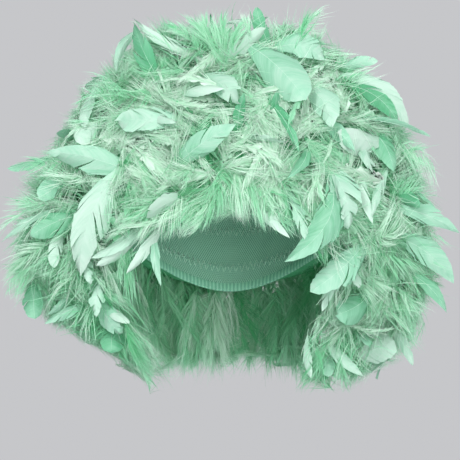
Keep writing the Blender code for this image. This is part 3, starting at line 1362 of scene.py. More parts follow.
@dataclass(frozen=True)
class WigCap:
    """The net cap with its elastic hem, and the thread that holds the rows of boa on it."""

    cap: CapForm = CapForm()
    around: int = 120
    down: int = 40
    pole_share: float = 0.012
    patch_around: int = 24
    hem_height: float = 9 * MILLIMETRE
    hem_thickness: float = 2.4 * MILLIMETRE
    stitch: float = 5.0 * MILLIMETRE
    stitch_width: float = 4.5 * MILLIMETRE
    thread_radius: float = 0.35 * MILLIMETRE
    hem_finish: BandFinish = BandFinish("elastic_hem", (0.34, 0.68, 0.50), (0.12, 0.40, 0.26), 900.0)
    thread_finish: BandFinish = BandFinish("sewing_thread", (0.62, 0.88, 0.75), (0.30, 0.62, 0.46), 2500.0)

    def ring_patch(self, rings: Array, closed: bool, wraps: float) -> Patch:
        """A surface through rings of points, joined round the cap.

        Args:
            rings: The points, shape (rings, around, 3).
            closed: Whether the last ring joins the first.
            wraps: How often the map runs round the cap.

        Returns:
            The surface.
        """
        count, around = rings.shape[:2]
        corner = np.arange(count * around).reshape(count, around)
        if closed:
            corner = np.concatenate([corner, corner[:1]])
        after = np.roll(corner, -1, 1)
        quads = np.stack([corner[:-1], corner[1:], after[1:], after[:-1]], -1).reshape(-1, 4)
        u, v = np.meshgrid(np.linspace(0, wraps, around), np.linspace(0, 1, count))
        spots = np.stack([u.ravel(), v.ravel()], -1)
        return Patch(rings.reshape(-1, 3), quads, NO_TRIANGLES, spots, np.zeros(count * around))

    def make_net(self) -> bpy.types.Object:
        """The cap itself: one wall of net, out from the crown and back in on the inside.

        Returns:
            The piece.
        """
        turns = np.arange(self.around) / self.around * FULL_TURN
        shares = np.linspace(self.pole_share, 1, self.down)
        turn, share = np.meshgrid(turns, shares)
        outer = self.cap.cap_point(turn, share)
        inner = self.cap.cap_point(turn, share, -self.cap.wall)[::-1]
        shell = self.ring_patch(np.concatenate([outer, inner]), False, 1.0)
        made = shell.to_object("cap_net", NetFinish().make())
        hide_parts("wig_cap")
        return made

    def make_crown_patch(self) -> bpy.types.Object:
        """The small round of net sewn over the crown, where the meshes meet.

        Returns:
            The piece.
        """
        turns = np.arange(self.patch_around) / self.patch_around * FULL_TURN
        shares = np.array([0.004, 0.05, 0.062, 0.062, 0.05, 0.004])
        lifts = np.array([0.7, 0.7, 0.4, -1.9, -2.2, -2.2]) * MILLIMETRE
        rings = np.stack([self.cap.cap_point(turns, share, lift) for share, lift in zip(shares, lifts)])
        return self.ring_patch(rings, True, 3.0).to_object("crown_patch", bpy.data.materials["cap_net"])

    def make_hem(self) -> bpy.types.Object:
        """The elastic hem, a soft band folded over the cap's edge, drawn up in fine gathers.

        Returns:
            The piece.
        """
        turns = np.arange(3 * self.around) / (3 * self.around) * FULL_TURN
        section = np.linspace(0, FULL_TURN, 10, endpoint=False)
        edge = self.cap.cap_point(turns, 1.0)
        out = self.cap.outward(turns, np.ones_like(turns))
        along = self.cap.downhill(turns, np.full_like(turns, 0.98))
        gather = 1 + 0.16 * np.sin(turns * 150) * (1 + 0.4 * np.sin(turns * 23))
        rings = []
        for angle in section:
            up = -along * (self.hem_height / 2) * (1 - math.cos(angle)) * 0.98
            wide = out * (self.hem_thickness / 2 * math.sin(angle) * gather[:, None] - self.cap.wall / 2)
            rings.append(edge + up + wide + along * 0.8 * MILLIMETRE)
        return self.ring_patch(np.stack(rings), True, 1.0).to_object("cap_hem", self.hem_finish.make())

    def make_stitches(self) -> bpy.types.Object:
        """The zigzag thread under each row, which shows inside the cap.

        Returns:
            The piece.
        """
        patches = []
        for row in range(1, len(ROWS)):
            share = self.cap.middle_of(row)
            rough = np.linspace(0, FULL_TURN, 400)
            path = self.cap.cap_point(rough, np.full_like(rough, share))
            run = np.concatenate([[0], np.cumsum(np.linalg.norm(np.diff(path, axis=0), axis=1))])
            count = 2 * int(run[-1] / self.stitch)
            turns = np.interp(np.arange(2 * count) / (2 * count) * run[-1], run, rough)
            zigzag = np.tile([1.0, 0.0, -1.0, 0.0], count // 2)
            tenth = np.linalg.norm(path[0] - self.cap.cap_point(0.0, share + 0.1))
            slope = self.stitch_width / 2 / tenth * 0.1
            shares = share + zigzag * slope
            middle = self.cap.cap_point(turns, shares, -self.cap.wall - self.thread_radius)
            out = self.cap.outward(turns, shares)
            middle = middle + out * (np.abs(zigzag) * 0.4 * MILLIMETRE)[:, None]
            ahead = unit(np.roll(middle, -1, 0) - np.roll(middle, 1, 0))
            side = cross(ahead, out)
            rings = [middle + (side * math.cos(a) + out * math.sin(a)) * self.thread_radius
                     for a in np.arange(3) / 3 * FULL_TURN]
            patches.append(self.ring_patch(np.stack(rings), True, 1.0))
        return Patch.join(patches).to_object("row_stitches", self.thread_finish.make())

    def build(self) -> list[bpy.types.Object]:
        """Builds and dresses the cap's pieces.

        Returns:
            The pieces.
        """
        pieces = [self.make_net(), self.make_crown_patch(), self.make_hem(), self.make_stitches()]
        return pieces


class Seen(NamedTuple):
    """A smooth feather that the photograph shows, by its pixels."""

    root_x: float
    root_y: float
    tip_x: float
    tip_y: float
    width: float
    # its tone on the scale of dye and painted light and shade
    dye_and_light: DyeAndLight
    roll: float = 0.0  # degrees that its face turns away from the view
    bow: float = 0.0  # pixels that its middle lies to the right of its run
    arch: float = 5.0  # millimetres that its middle stands up
    blunt: float = 4.0
    fray: float = 1.0  # how often its barbs part, of the usual


class SeenPlume(NamedTuple):
    """A long plume of down that the photograph shows, by its pixels."""

    root_x: float
    root_y: float
    tip_x: float
    tip_y: float
    barb: float  # length of its barbs, of the usual length
    # its tone on the scale of dye and painted light and shade
    dye_and_light: DyeAndLight
    bow: float = 0.0


SEEN_VANES = tuple(Seen(*row) for row in (
    (47, 155, 7, 168, 11, SHADE, 35, -4), (130, 178, 46, 152, 35, MID, 0, 7, 10, 2.2),
    (184, 126, 116, 121, 21, LIGHT, 0, 2, 16, 9.0), (162, 76, 134, 22, 22, DEEP, 20, -5, 3, 3.0),
    (216, 54, 133, 18, 16, BRIGHT, 20, -13, 10, 2.2, 2.0), (140, 40, 116, 73, 7, LIGHT, 50, 8),
    (184, 164, 236, 124, 29, MID, 5, -4, 8, 2.4), (126, 186, 80, 277, 40, LIGHT, 0, 15, 12, 2.8),
    (66, 232, 54, 268, 12, BRIGHT, 20, 3, 4, 5.0), (86, 258, 90, 284, 14, LIGHT, 5, 0, 4, 3.0, 2.0),
    (146, 212, 91, 258, 13, LIGHT, 25, -8, 5, 4.0), (136, 232, 96, 266, 9, BRIGHT, 40, -6, 5, 4.0),
    (160, 222, 126, 274, 13, BRIGHT, 15, -4, 4, 3.0), (158, 232, 161, 287, 10, MID, 20, 4, 4, 2.5),
    (186, 203, 146, 218, 15, BRIGHT, 30, 6, 7, 7.0), (104, 282, 97, 317, 16, LIGHT, 10, 4, 5, 3.0, 2.5),
    (104, 300, 122, 335, 25, MID, 10, 4, 6, 3.0), (108, 306, 130, 323, 9, BRIGHT, 30, 0),
    (66, 296, 46, 316, 10, MID, 20, -3, 5, 2.4), (84, 306, 44, 324, 13, MID, 25, 3, 5, 2.6),
    (113, 322, 111, 353, 24, DEEP, 15, 0, 2, 6.0), (38, 284, 35, 319, 20, SHADE, 10, 2, 3, 5.0),
    (272, 50, 256, 7, 14, DEEP, 15, -2, 2, 4.0), (222, 62, 266, 28, 13, BRIGHT, 35, 2, 6, 5.0),
    (282, 56, 326, 60, 31, MID, 5, -9, 10, 3.0), (256, 56, 306, 100, 38, MID, 0, -4, 8, 5.0, 0.6),
    (306, 96, 332, 128, 28, LIGHT, 20, -8, 6, 2.8), (240, 134, 244, 93, 13, DEEP, 10, -3, 3, 3.0),
    (274, 116, 277, 92, 9, DEEP, 35, 0, 3, 4.0), (262, 106, 298, 152, 8, DEEP, 45, -8, 4, 3.0),
    (300, 148, 287, 178, 14, SHADE, 15, -8, 4, 3.0), (246, 138, 286, 141, 6, BRIGHT, 60, 1, 5, 3.0),
    (318, 126, 355, 152, 20, MID, 10, -6, 6, 2.2), (374, 136, 336, 133, 24, BRIGHT, 15, -6, 7, 4.0),
    (346, 88, 409, 128, 20, BRIGHT, 25, -13, 9, 3.0), (350, 94, 398, 122, 18, DEEP, 20, -10, 3, 3.0),
    (345, 70, 378, 61, 10, MID, 25, -2, 4, 4.0), (362, 124, 431, 137, 6, MID, 60, -5, 5, 2.5),
    (372, 138, 394, 172, 22, SHADE, 15, -5, 5, 3.0), (366, 142, 374, 176, 18, LIGHT, 25, 4, 6, 3.0),
    (414, 190, 436, 208, 7, SHADE, 45, 0), (396, 202, 420, 207, 12, DEEP, 30, -4, 3, 5.0),
    (394, 212, 460, 233, 30, MID, 8, -6, 6, 1.7), (398, 246, 453, 283, 31, MID, 5, -9, 9, 2.6),
    (410, 280, 447, 313, 20, SHADE, 5, -7, 5, 2.2), (312, 184, 284, 262, 34, SHADE, 5, -24, 14, 2.6),
    (326, 178, 350, 230, 32, LIGHT, 20, -8, 10, 3.0, 2.5),
    (284, 192, 310, 250, 15, LIGHT, 15, -3, 5, 2.2, 3.0), (260, 205, 290, 238, 11, BRIGHT, 15, 3, 5, 2.5),
    (358, 242, 310, 292, 27, MID, 10, -5, 8, 5.0, 2.0), (345, 264, 322, 312, 13, LIGHT, 20, 4, 5, 3.0, 2.0),
    (354, 268, 358, 288, 10, BRIGHT, 10, 0, 4, 9.0), (364, 294, 336, 315, 26, SHADE, 15, -4, 4, 5.0),
    (352, 345, 394, 340, 27, BRIGHT, 5, 6, 4, 9.0), (328, 336, 364, 376, 14, LIGHT, 15, 5, 5, 3.0),
    (327, 352, 328, 377, 13, MID, 10, 0, 3, 6.0), (392, 332, 413, 366, 12, LIGHT, 15, -3, 4, 3.0),
    (309, 342, 311, 378, 8, BRIGHT, 25, 3, 3, 4.0), (362, 176, 373, 224, 12, BRIGHT, 20, 4, 6, 2.5),
    (386, 176, 371, 218, 11, LIGHT, 20, 4, 6, 2.5), (208, 84, 240, 104, 20, LIGHT, 25, -5, 7, 4.0),
    (186, 96, 224, 88, 14, BRIGHT, 30, -3, 6, 3.0), (150, 108, 176, 122, 10, BRIGHT, 30, 3, 4, 3.0),
    (98, 92, 84, 128, 14, LIGHT, 15, 3, 4, 4.0), (100, 126, 76, 142, 18, BRIGHT, 15, 0, 4, 6.0),
    (70, 138, 60, 130, 14, SHADE, 20, 0, 2, 5.0), (64, 186, 40, 200, 18, MID, 10, 3, 4, 5.0),
    (80, 218, 30, 236, 22, SHADE, 15, 4, 3, 4.0), (58, 212, 1, 243, 15, LIGHT, 25, 5, 5, 2.0, 1.5),
))

SEEN_PLUMES = tuple(SeenPlume(*row) for row in (
    (108, 192, 2, 240, 0.85, LIGHT, 4), (84, 252, 4, 284, 0.95, MID, 5), (88, 200, 12, 200, 0.8, MID, -4),
    (96, 280, 26, 312, 0.9, MID, 2), (276, 48, 329, 2, 0.6, LIGHT, 4), (222, 70, 196, 26, 0.8, MID, 6),
    (236, 60, 238, 28, 0.6, MID, -3), (292, 62, 304, 22, 0.7, SHADE, 2), (160, 90, 92, 96, 0.9, MID, -6),
    (150, 110, 78, 122, 0.8, MID, -4), (340, 92, 382, 80, 0.7, LIGHT, -6),
    (392, 146, 442, 178, 0.85, LIGHT, -8), (380, 200, 436, 196, 0.95, MID, -4),
    (376, 250, 440, 262, 0.8, MID, 3), (372, 300, 424, 344, 0.95, MID, -4),
    (356, 318, 404, 372, 0.9, MID, 4), (340, 334, 346, 388, 0.75, MID, 2),
    (318, 330, 304, 384, 0.7, SHADE, -2), (204, 176, 124, 246, 0.7, LIGHT, -10),
    (206, 182, 140, 226, 0.7, LIGHT, -8), (200, 178, 104, 214, 0.75, MID, -10),
    (176, 214, 146, 268, 0.6, MID, -3), (222, 168, 210, 216, 0.62, MID, -2),
    (196, 188, 184, 240, 0.62, LIGHT, -4), (180, 200, 166, 246, 0.60, MID, -3),
    (208, 184, 196, 230, 0.55, LIGHT, -3), (268, 184, 296, 236, 0.60, MID, 5),
    (282, 190, 312, 246, 0.55, LIGHT, 4), (236, 166, 238, 214, 0.62, LIGHT, 0),
    (246, 170, 262, 218, 0.62, MID, 2), (256, 174, 282, 224, 0.60, LIGHT, 4),
    (120, 290, 136, 352, 0.7, SHADE, 3), (130, 316, 150, 380, 0.7, MID, 3), (96, 300, 78, 346, 0.8, MID, 0),
    (112, 318, 94, 362, 0.7, SHADE, 2), (124, 330, 116, 376, 0.7, SHADE, 2),
    (66, 290, 40, 332, 0.8, MID, 2), (396, 296, 434, 330, 0.8, MID, -3), (386, 326, 420, 366, 0.8, MID, -2),
    (360, 330, 378, 382, 0.8, MID, 2), (60, 200, 8, 222, 0.8, LIGHT, 3), (404, 230, 448, 240, 0.8, MID, -3),
    (120, 84, 76, 66, 0.8, MID, -3), (128, 96, 74, 100, 0.7, MID, 2), (310, 60, 350, 44, 0.8, LIGHT, 3),
    (400, 150, 436, 150, 0.8, MID, 3), (168, 190, 112, 234, 0.75, LIGHT, -6),
    (184, 184, 150, 222, 0.75, BRIGHT, -6), (236, 101, 170, 80, 0.55, BRIGHT, 8),
    (212, 50, 186, 76, 0.50, BRIGHT, -5), (160, 88, 196, 106, 0.50, BRIGHT, 6),
    (96, 124, 66, 140, 0.50, BRIGHT, 3), (330, 330, 322, 386, 0.8, MID, 3),
    (346, 320, 362, 374, 0.8, LIGHT, 3), (376, 306, 410, 352, 0.9, LIGHT, -3),
    (388, 280, 424, 318, 0.9, LIGHT, -3), (372, 236, 396, 228, 0.9, BRIGHT, 3),
    (332, 262, 318, 300, 0.6, LIGHT, -3), (84, 270, 50, 306, 0.9, LIGHT, 3),
    (60, 240, 14, 268, 0.9, LIGHT, 3), (320, 166, 300, 204, 0.6, BRIGHT, -4),
    (340, 320, 390, 330, 0.5, BRIGHT, 5), (228, 54, 222, 22, 0.6, MID, -3),
    (250, 52, 246, 24, 0.6, LIGHT, 3), (214, 50, 206, 22, 0.6, MID, -3), (200, 60, 172, 26, 0.7, MID, 4),
    (178, 64, 154, 36, 0.7, MID, 3), (318, 56, 340, 34, 0.7, MID, -3), (332, 62, 304, 82, 0.5, LIGHT, 3),
    (304, 98, 288, 126, 0.5, MID, 3), (46, 268, 1, 300, 0.9, MID, 4), (62, 290, 14, 318, 0.9, SHADE, 3),
    (90, 306, 48, 340, 0.9, SHADE, 3), (100, 324, 76, 352, 0.9, SHADE, 2), (70, 160, 26, 162, 0.8, MID, -3),
    (420, 320, 428, 352, 0.7, MID, -4), (404, 160, 442, 162, 0.8, MID, -3),
    (394, 330, 424, 352, 0.9, MID, -3), (92, 178, 52, 188, 0.7, BRIGHT, 3),
    (316, 172, 326, 206, 0.5, LIGHT, 3), (140, 250, 150, 286, 0.5, MID, 2),
    (238, 148, 276, 160, 0.5, BRIGHT, -4), (276, 150, 246, 178, 0.5, BRIGHT, 4),
    (346, 112, 330, 150, 0.6, LIGHT, 4), (214, 108, 196, 140, 0.6, LIGHT, -4),
))

# Where the photograph shows the down lit or in shade: pixel, radius in pixels, and change of tone
SEEN_LIGHT = (
    (260, 47, 20, 0.35), (216, 60, 18, 0.30), (325, 92, 20, 0.35), (184, 100, 18, 0.30),
    (258, 163, 24, 0.40), (154, 168, 24, 0.35), (300, 186, 22, 0.25), (360, 170, 16, 0.25),
    (70, 245, 24, 0.20), (98, 130, 18, 0.20), (190, 70, 12, -0.20), (240, 84, 14, -0.35),
    (160, 84, 12, -0.30), (232, 130, 18, -0.30), (134, 176, 14, -0.25), (200, 176, 12, -0.30),
    (172, 197, 10, -0.40), (345, 104, 14, -0.30), (408, 152, 16, -0.20), (104, 300, 34, -0.25),
    (390, 262, 22, -0.20), (326, 366, 30, -0.25), (64, 318, 30, -0.20), (290, 122, 14, -0.20),
    (250, 112, 80, 0.14), (205, 206, 26, -0.24), (285, 208, 24, -0.24), (138, 250, 26, -0.26),
    (320, 340, 50, -0.12), (100, 330, 44, -0.14), (262, 136, 22, 0.25), (312, 184, 18, 0.30),
    (226, 102, 18, 0.20), (344, 126, 20, 0.20), (70, 178, 20, 0.30), (362, 330, 18, 0.40),
    (302, 106, 14, 0.30), (312, 66, 12, 0.25), (186, 52, 18, 0.25), (180, 120, 18, 0.20),
    (118, 210, 18, 0.20),
)

# The pixels where the photograph shows a whorl of down
SEEN_WHORLS = (
    (224, 172), (186, 60), (242, 96), (298, 72), (300, 140), (350, 110), (352, 180), (398, 176),
    (388, 232), (360, 290), (376, 338), (326, 330), (288, 190), (140, 84), (128, 132), (94, 158),
    (72, 206), (110, 232), (56, 262), (96, 296), (132, 334), (160, 190), (420, 250), (236, 48),
)


class Burst(NamedTuple):
    """How shafts come out of each whorl, with the least and the greatest of each measure."""

    each: int  # how many come out of one whorl
    lean: tuple[float, float]  # radians that they lean over
    depth: tuple[float, float]  # metres under the form's surface where they root
    length: tuple[float, float]
    slack: float  # how far out of the form they may reach


class Hang(NamedTuple):
    """How down hangs from a stretch of the hem, with the least and the greatest of some measures."""

    count: int
    turns: tuple[float, float]  # the stretch, in radians
    shares: tuple[float, float]
    stand_out: tuple[float, float]  # millimetres off the cap where it roots
    length: tuple[float, float]  # millimetres
    longer: float  # millimetres more for each radian from the front
    lean_out: tuple[float, float]  # how far its tip stands out, for a drop of 1
    aside: float  # how far its tip turns to the side
    stray: float  # how far chance turns its tip
    way_out: float  # how far out it starts
    way_down: float  # how far down it starts
    arch: float  # how far it rises on the way, of its length
    tucked: bool  # whether it is held inside the form


class Look(NamedTuple):
    """The looks of plumes: least and greatest length of barb, of the usual, and tone and its spread."""

    barb: tuple[float, float]
    tone: tuple[float, float]


class Batch(NamedTuple):
    """Plumes of one kind: shafts, lengths of barb, tones, and which of them have an inner sheet."""

    quills: Quills
    barb: Array
    tone: Array
    sheeted: Array


@dataclass(frozen=True)
class Plumage:
    """All the feathers: whorls of down all over, a hanging hem of it, and the smooth feathers."""

    cap: CapForm = CapForm()
    form: Form = Form()
    view: Viewpoint = Viewpoint()
    outline: Outline = Outline()
    whorl_spacing: float = 36 * MILLIMETRE
    whorl_tries: int = 9000
    whorl_density: float = 2.2
    whorl_clearance: float = 4 * MILLIMETRE
    whorl_heights: tuple[float, float] = (-0.212, 0.0625)
    plume_burst: Burst = Burst(11, (0.2, 1.35), (18 * MILLIMETRE, 30 * MILLIMETRE),
                               (42 * MILLIMETRE, 62 * MILLIMETRE), -0.04)
    vane_burst: Burst = Burst(3, (0.7, 1.45), (6 * MILLIMETRE, 14 * MILLIMETRE),
                              (40 * MILLIMETRE, 68 * MILLIMETRE), 0.12)
    hem: Hang = Hang(190, (1.18, FULL_TURN - 1.18), (0.92, 1.0), (3, 34), (42, 70), 0, (-0.1, 0.45),
                     0.0, 0.20, 0.7, 1.0, 0.08, True)
    fringe: Hang = Hang(60, (-1.15, 1.15), (0.90, 1.0), (3, 22), (30, 46), 10, (0.0, 0.5),
                        0.4, 0.25, 1.0, 0.6, 0.10, False)
    plume_look: Look = Look((0.75, 1.1), (0.68, 0.22))
    hem_look: Look = Look((0.7, 1.0), (0.50, 0.22))
    # The fringe's tones are lower than the whorls' plumes: painted shade round the opening for the face
    fringe_look: Look = Look((0.55, 0.8), (0.62, 0.20))
    hem_slack: float = -0.04
    hem_clearance: float = 0.022
    whorl_tip_clearance: float = 0.018
    vane_down: int = 24
    foot_share: float = 0.30
    foot_length: tuple[float, float] = (12, 24)
    foot_width: tuple[float, float] = (0.4, 0.8)
    fuzz_a_row: int = 1000
    fuzz_length: tuple[float, float] = (12, 22)
    fuzz_width: tuple[float, float] = (0.8, 3.0)
    fuzz_tone: tuple[float, float] = (0.30, 0.12)
    loose_width: tuple[float, float] = (11, 29)
    loose_blunt: tuple[float, float] = (2.2, 7.0)
    loose_tone: tuple[float, float] = (0.62, 0.24)
    loose_cup: tuple[float, float] = (0.05, 0.35)
    loose_fray: tuple[float, float] = (0.6, 2.2)
    light_gain: float = 1.25
    core_grid: tuple[int, int] = (168, 14)
    core_half: float = 0.56
    core_room: tuple[float, float] = (0.004, 0.09)
    core_height: float = 0.62
    tuft_core: tuple[float, float] = (0.045, 0.085)
    buried_middle: float = 0.80
    buried_tip: float = 0.86
    buried_heights: tuple[float, float] = (-0.115, 0.005)
    buried_kept: float = 0.15
    covering_kept: float = 0.07
    covering_near: float = 0.045
    covering_height: tuple[float, float] = (-0.002, 0.04)
    outline_margins: tuple[tuple[float, float], ...] = ((1.0, 15.0), (0.6, 6.0))
    outline_locks: float = 4.5  # pixels that locks stand out of the outline or draw back from it
    lowest_pixel: float = 396
    opening_depth: float = 0.03
    opening_gap: float = 12 * MILLIMETRE
    sheet_width: tuple[float, float] = (0.16, 0.30)
    sheet_darker: float = 0.12
    sheet_margin: float = 5.0
    sheet_gap: float = 16.0
    sheet_lowest: float = -0.160
    sheet_barb: float = 0.58
    strands_to_split: int = 36000
    back_from: float = 0.06
    seed: int = 11

    def whorls(self, luck: Luck) -> Array:
        """Where the feathers come out of the boa in whorls, as points of the form's surface.

        Args:
            luck: Where chance comes from.

        Returns:
            The points, shape (N, 3).
        """
        found = list(self.form.seen_at(np.array(SEEN_WHORLS, float), self.view))
        turn = luck.uniform(0, FULL_TURN, self.whorl_tries)
        height = luck.uniform(*self.whorl_heights, self.whorl_tries)
        point = self.form.surface(turn, height)
        across = self.form.surface(turn + 0.01, height) - point
        down = self.form.surface(turn, height - 0.001) - point
        area = np.linalg.norm(np.cross(across, down), axis=-1)
        kept = luck.random(self.whorl_tries) < area / area.max() * self.whorl_density
        kept &= ~self.form.over_face(point, self.whorl_clearance)
        for spot in point[kept]:
            if np.linalg.norm(np.array(found) - spot, axis=1).min() > self.whorl_spacing:
                found.append(spot)
        return np.array(found)

    def room(self, points: Array) -> Array:
        """How far outside the cap the points lie, roughly.

        Args:
            points: Points, shape (N, 3).

        Returns:
            The distances, in metres.
        """
        x, y, z = self.cap.halves()
        height = np.maximum(points[:, 2] + self.cap.crown_height, 0) / z
        reach = np.sqrt((points[:, 0] / x) ** 2 + (points[:, 1] / y) ** 2 + height**2)
        return np.maximum(reach - 1, 0.02) * (x + y) / 2

    def whorl_quills(self, centres: Array, burst: Burst, luck: Luck) -> Quills:
        """Shafts that come out of the whorls all round.

        Args:
            centres: The whorls, on the form's surface.
            burst: How the shafts come out.
            luck: Where chance comes from.

        Returns:
            The shafts.
        """
        each = burst.each
        count = len(centres) * each
        number = np.repeat(np.arange(len(centres)), each)
        centre, normal = centres[number], self.form.normal(centres)[number]
        across = cross(normal, np.broadcast_to([0.05, 0.02, 1.0], normal.shape))
        up = cross(across, normal)
        angle = (np.tile(np.arange(each), len(centres)) + luck.uniform(0, 1, count)) / each * FULL_TURN
        angle = angle + luck.uniform(0, FULL_TURN, len(centres))[number]
        flat = across * np.cos(angle)[:, None] + up * np.sin(angle)[:, None]
        flat = unit(flat + 0.30 * DOWNWARD + luck.normal(0, 0.15, flat.shape))
        leaning = np.sqrt(luck.uniform(burst.lean[0] ** 2, burst.lean[1] ** 2, count))[:, None]
        size = luck.uniform(*burst.length, count)[:, None]
        under = np.minimum(luck.uniform(*burst.depth, count), 0.8 * self.room(centre))[:, None]
        root = centre - normal * under + luck.normal(0, 5 * MILLIMETRE, centre.shape)
        tip = root + size * (normal * np.cos(leaning) + flat * np.sin(leaning)) + DOWNWARD * size * 0.10
        tip[:, 2] = np.maximum(tip[:, 2], self.form.lowest() + self.whorl_tip_clearance)
        tip = self.form.pull_in(tip, burst.slack)
        way = unit(normal * (np.cos(leaning) + 0.5) + flat * np.sin(leaning) * 0.6)
        faces = unit(normal + luck.normal(0, 0.25, normal.shape))
        arch = luck.uniform(0.02, 0.14, count) * size[:, 0]
        return Quills.bent(root, way, tip, faces, arch)

    def hanging_quills(self, hang: Hang, luck: Luck) -> Quills:
        """Shafts of the down that hangs from a stretch of the hem.

        Args:
            hang: How it hangs.
            luck: Where chance comes from.

        Returns:
            The shafts.
        """
        count = hang.count
        turn = luck.uniform(*hang.turns, count)
        share = luck.uniform(*hang.shares, count)
        out = self.cap.outward(turn, share)
        stand_out = luck.uniform(*hang.stand_out, count)[:, None]
        root = self.cap.cap_point(turn, share) + out * stand_out * MILLIMETRE
        size = (luck.uniform(*hang.length, count) + hang.longer * np.abs(turn))[:, None] * MILLIMETRE
        aside = np.stack([np.sin(turn), np.zeros(count), np.zeros(count)], -1)
        spread = unit(DOWNWARD + out * luck.uniform(*hang.lean_out, (count, 1)) + aside * hang.aside
                      + luck.normal(0, hang.stray, out.shape))
        tip = root + spread * size
        if hang.tucked:
            tip = self.form.pull_in(tip, self.hem_slack)
            tip[:, 2] = np.maximum(tip[:, 2], self.form.lowest() + self.hem_clearance)
        way = unit(out * hang.way_out + DOWNWARD * hang.way_down)
        return Quills.bent(root, way, tip, out, hang.arch * size[:, 0])

    def seen_quills(self, root_pixel: Array, tip_pixel: Array, bow: Array, arch: Array, roll: Array,
                    back: float, sunk: float, lift: float) -> Quills:
        """Shafts between the pixels where the photograph shows them.

        Args:
            root_pixel: Where each comes out of the down, shape (N, 2).
            tip_pixel: Where each ends.
            bow: Pixels that its middle lies to the right of its run.
            arch: How far its middle stands up, in metres.
            roll: How far its face turns away from the view, in radians.
            back: How much of its run lies hidden before it comes out.
            sunk: How far behind the surface it starts.
            lift: How far before the surface it ends.

        Returns:
            The shafts.
        """
        root_depth = self.form.seen_at(root_pixel, self.view)[:, 1]
        tip_depth = self.form.seen_at(tip_pixel, self.view)[:, 1]
        run = tip_pixel - root_pixel
        most = 0.55 * np.linalg.norm(run, axis=1) * self.view.pixel
        tip_depth = root_depth + np.clip(tip_depth - root_depth, -most, most)
        root = self.view.at_depth(root_pixel - back * run, root_depth + sunk)
        tip = self.view.at_depth(tip_pixel, tip_depth - lift)
        run = tip - root
        beside = unit(np.stack([run[:, 2], np.zeros(len(run)), -run[:, 0]], -1))
        beside = beside * bow[:, None] * self.view.pixel
        normal = self.form.normal((root + tip) / 2)
        look = unit(normal * 0.35 + np.array([0.0, -1.0, 0.0]))
        ahead = unit(run)
        side = cross(ahead, look)
        out = cross(side, ahead)
        face = out * np.cos(roll)[:, None] + side * np.sin(roll)[:, None]
        rise = out * arch[:, None] + beside * 4 / 3
        return Quills(np.stack([root, root + run / 3 + rise, tip - run / 3 + rise, tip], 1), face)

    def seen_vanes(self, luck: Luck) -> Vanes:
        """The smooth feathers that the photograph shows.

        Args:
            luck: Where chance comes from.

        Returns:
            The feathers.
        """
        table = np.array([[*seen[:5], seen.dye_and_light.value, *seen[6:]] for seen in SEEN_VANES], float)
        root, tip = table[:, :2], table[:, 2:4]
        width, dye_and_light, roll, bow, arch, blunt, fray = table[:, 4:].T
        turned = np.radians(roll) * np.where(luck.random(len(table)) < 0.5, -1, 1)
        quills = self.seen_quills(root, tip, bow, arch * MILLIMETRE, turned,
                                  back=0.35, sunk=0.020, lift=0.008)
        wide = 1.12 * width * self.view.pixel / np.maximum(np.cos(turned), 0.35)
        seen = np.ones(len(table), bool)
        return Vanes(quills, wide, blunt, luck.uniform(0.20, 0.55, len(table)), dye_and_light, fray, seen)

    def seen_plumes(self) -> tuple[Quills, Array, Array]:
        """The long plumes that the photograph shows.

        Returns:
            Their shafts, the lengths of their barbs, of the usual, and their tones.
        """
        table = np.array([[*seen[:5], seen.dye_and_light.value, seen.bow] for seen in SEEN_PLUMES], float)
        flat = np.zeros(len(table))
        quills = self.seen_quills(table[:, :2], table[:, 2:4], table[:, 6], flat + 0.006, flat,
                                  back=0.1, sunk=0.010, lift=0.006)
        return quills, table[:, 4], table[:, 5]

    def lit(self, quills: Quills, tone: Array) -> Array:
        """The tones of plumes, changed where the photograph shows them lit or in shade.

        Args:
            quills: The plumes' shafts.
            tone: Their tones.

        Returns:
            The changed tones.
        """
        place = quills.points[:, 2]
        pixel = self.view.pixels_of(place)
        changed = tone.copy()
        for x, y, radius, change in SEEN_LIGHT:
            far = ((pixel - [x, y]) ** 2).sum(-1) / radius**2
            changed += np.where(place[:, 1] < 0, self.light_gain * change * np.exp(-far), 0)
        return changed

    def sheets(self, quills: Quills, scale: Array, tone: Array, luck: Luck) -> Patch:
        """The soft inner sheets of downy feathers.

        Args:
            quills: Their shafts.
            scale: How long each one's barbs are, of the usual length.
            tone: Each one's tone.
            luck: Where chance comes from.

        Returns:
            The sheets.
        """
        count = quills.count()
        width = 2 * DownPlumes().barb * scale * luck.uniform(*self.sheet_width, count)
        sheets = Vanes(quills, width, luck.uniform(2.0, 4.0, count), luck.uniform(0.1, 0.5, count),
                       tone - self.sheet_darker, np.ones(count), np.zeros(count, bool))
        return SoftVaneMaker().vane(sheets, luck)

    def loose_vanes(self, centres: Array, luck: Luck) -> Vanes:
        """Smooth feathers of the sides, the back and the top, which the photograph doesn't show.

        Args:
            centres: The whorls, on the form's surface.
            luck: Where chance comes from.

        Returns:
            The feathers.
        """
        quills = self.whorl_quills(centres, self.vane_burst, luck)
        root = quills.points[:, 0]
        hidden = np.clip(3.6 * (root[:, 1] + 0.05), 0.0, 0.55)
        chance = luck.random(len(root))
        tip = quills.points[:, 3]
        shown = self.within_outline(quills, 12.0) | (tip[:, 1] > 0.12)
        kept = (chance < hidden) & ~self.form.over_face(tip, self.opening_gap) & shown
        quills = quills.chosen(kept)
        count = quills.count()
        width = luck.uniform(*self.loose_width, count) * MILLIMETRE
        blunt = luck.uniform(*self.loose_blunt, count)
        dye_and_light = np.clip(luck.normal(*self.loose_tone, count), DEEP.value, 1)
        cup, fray = luck.uniform(*self.loose_cup, count), luck.uniform(*self.loose_fray, count)
        return Vanes(quills, width, blunt, cup, dye_and_light, fray, np.zeros(count, bool))

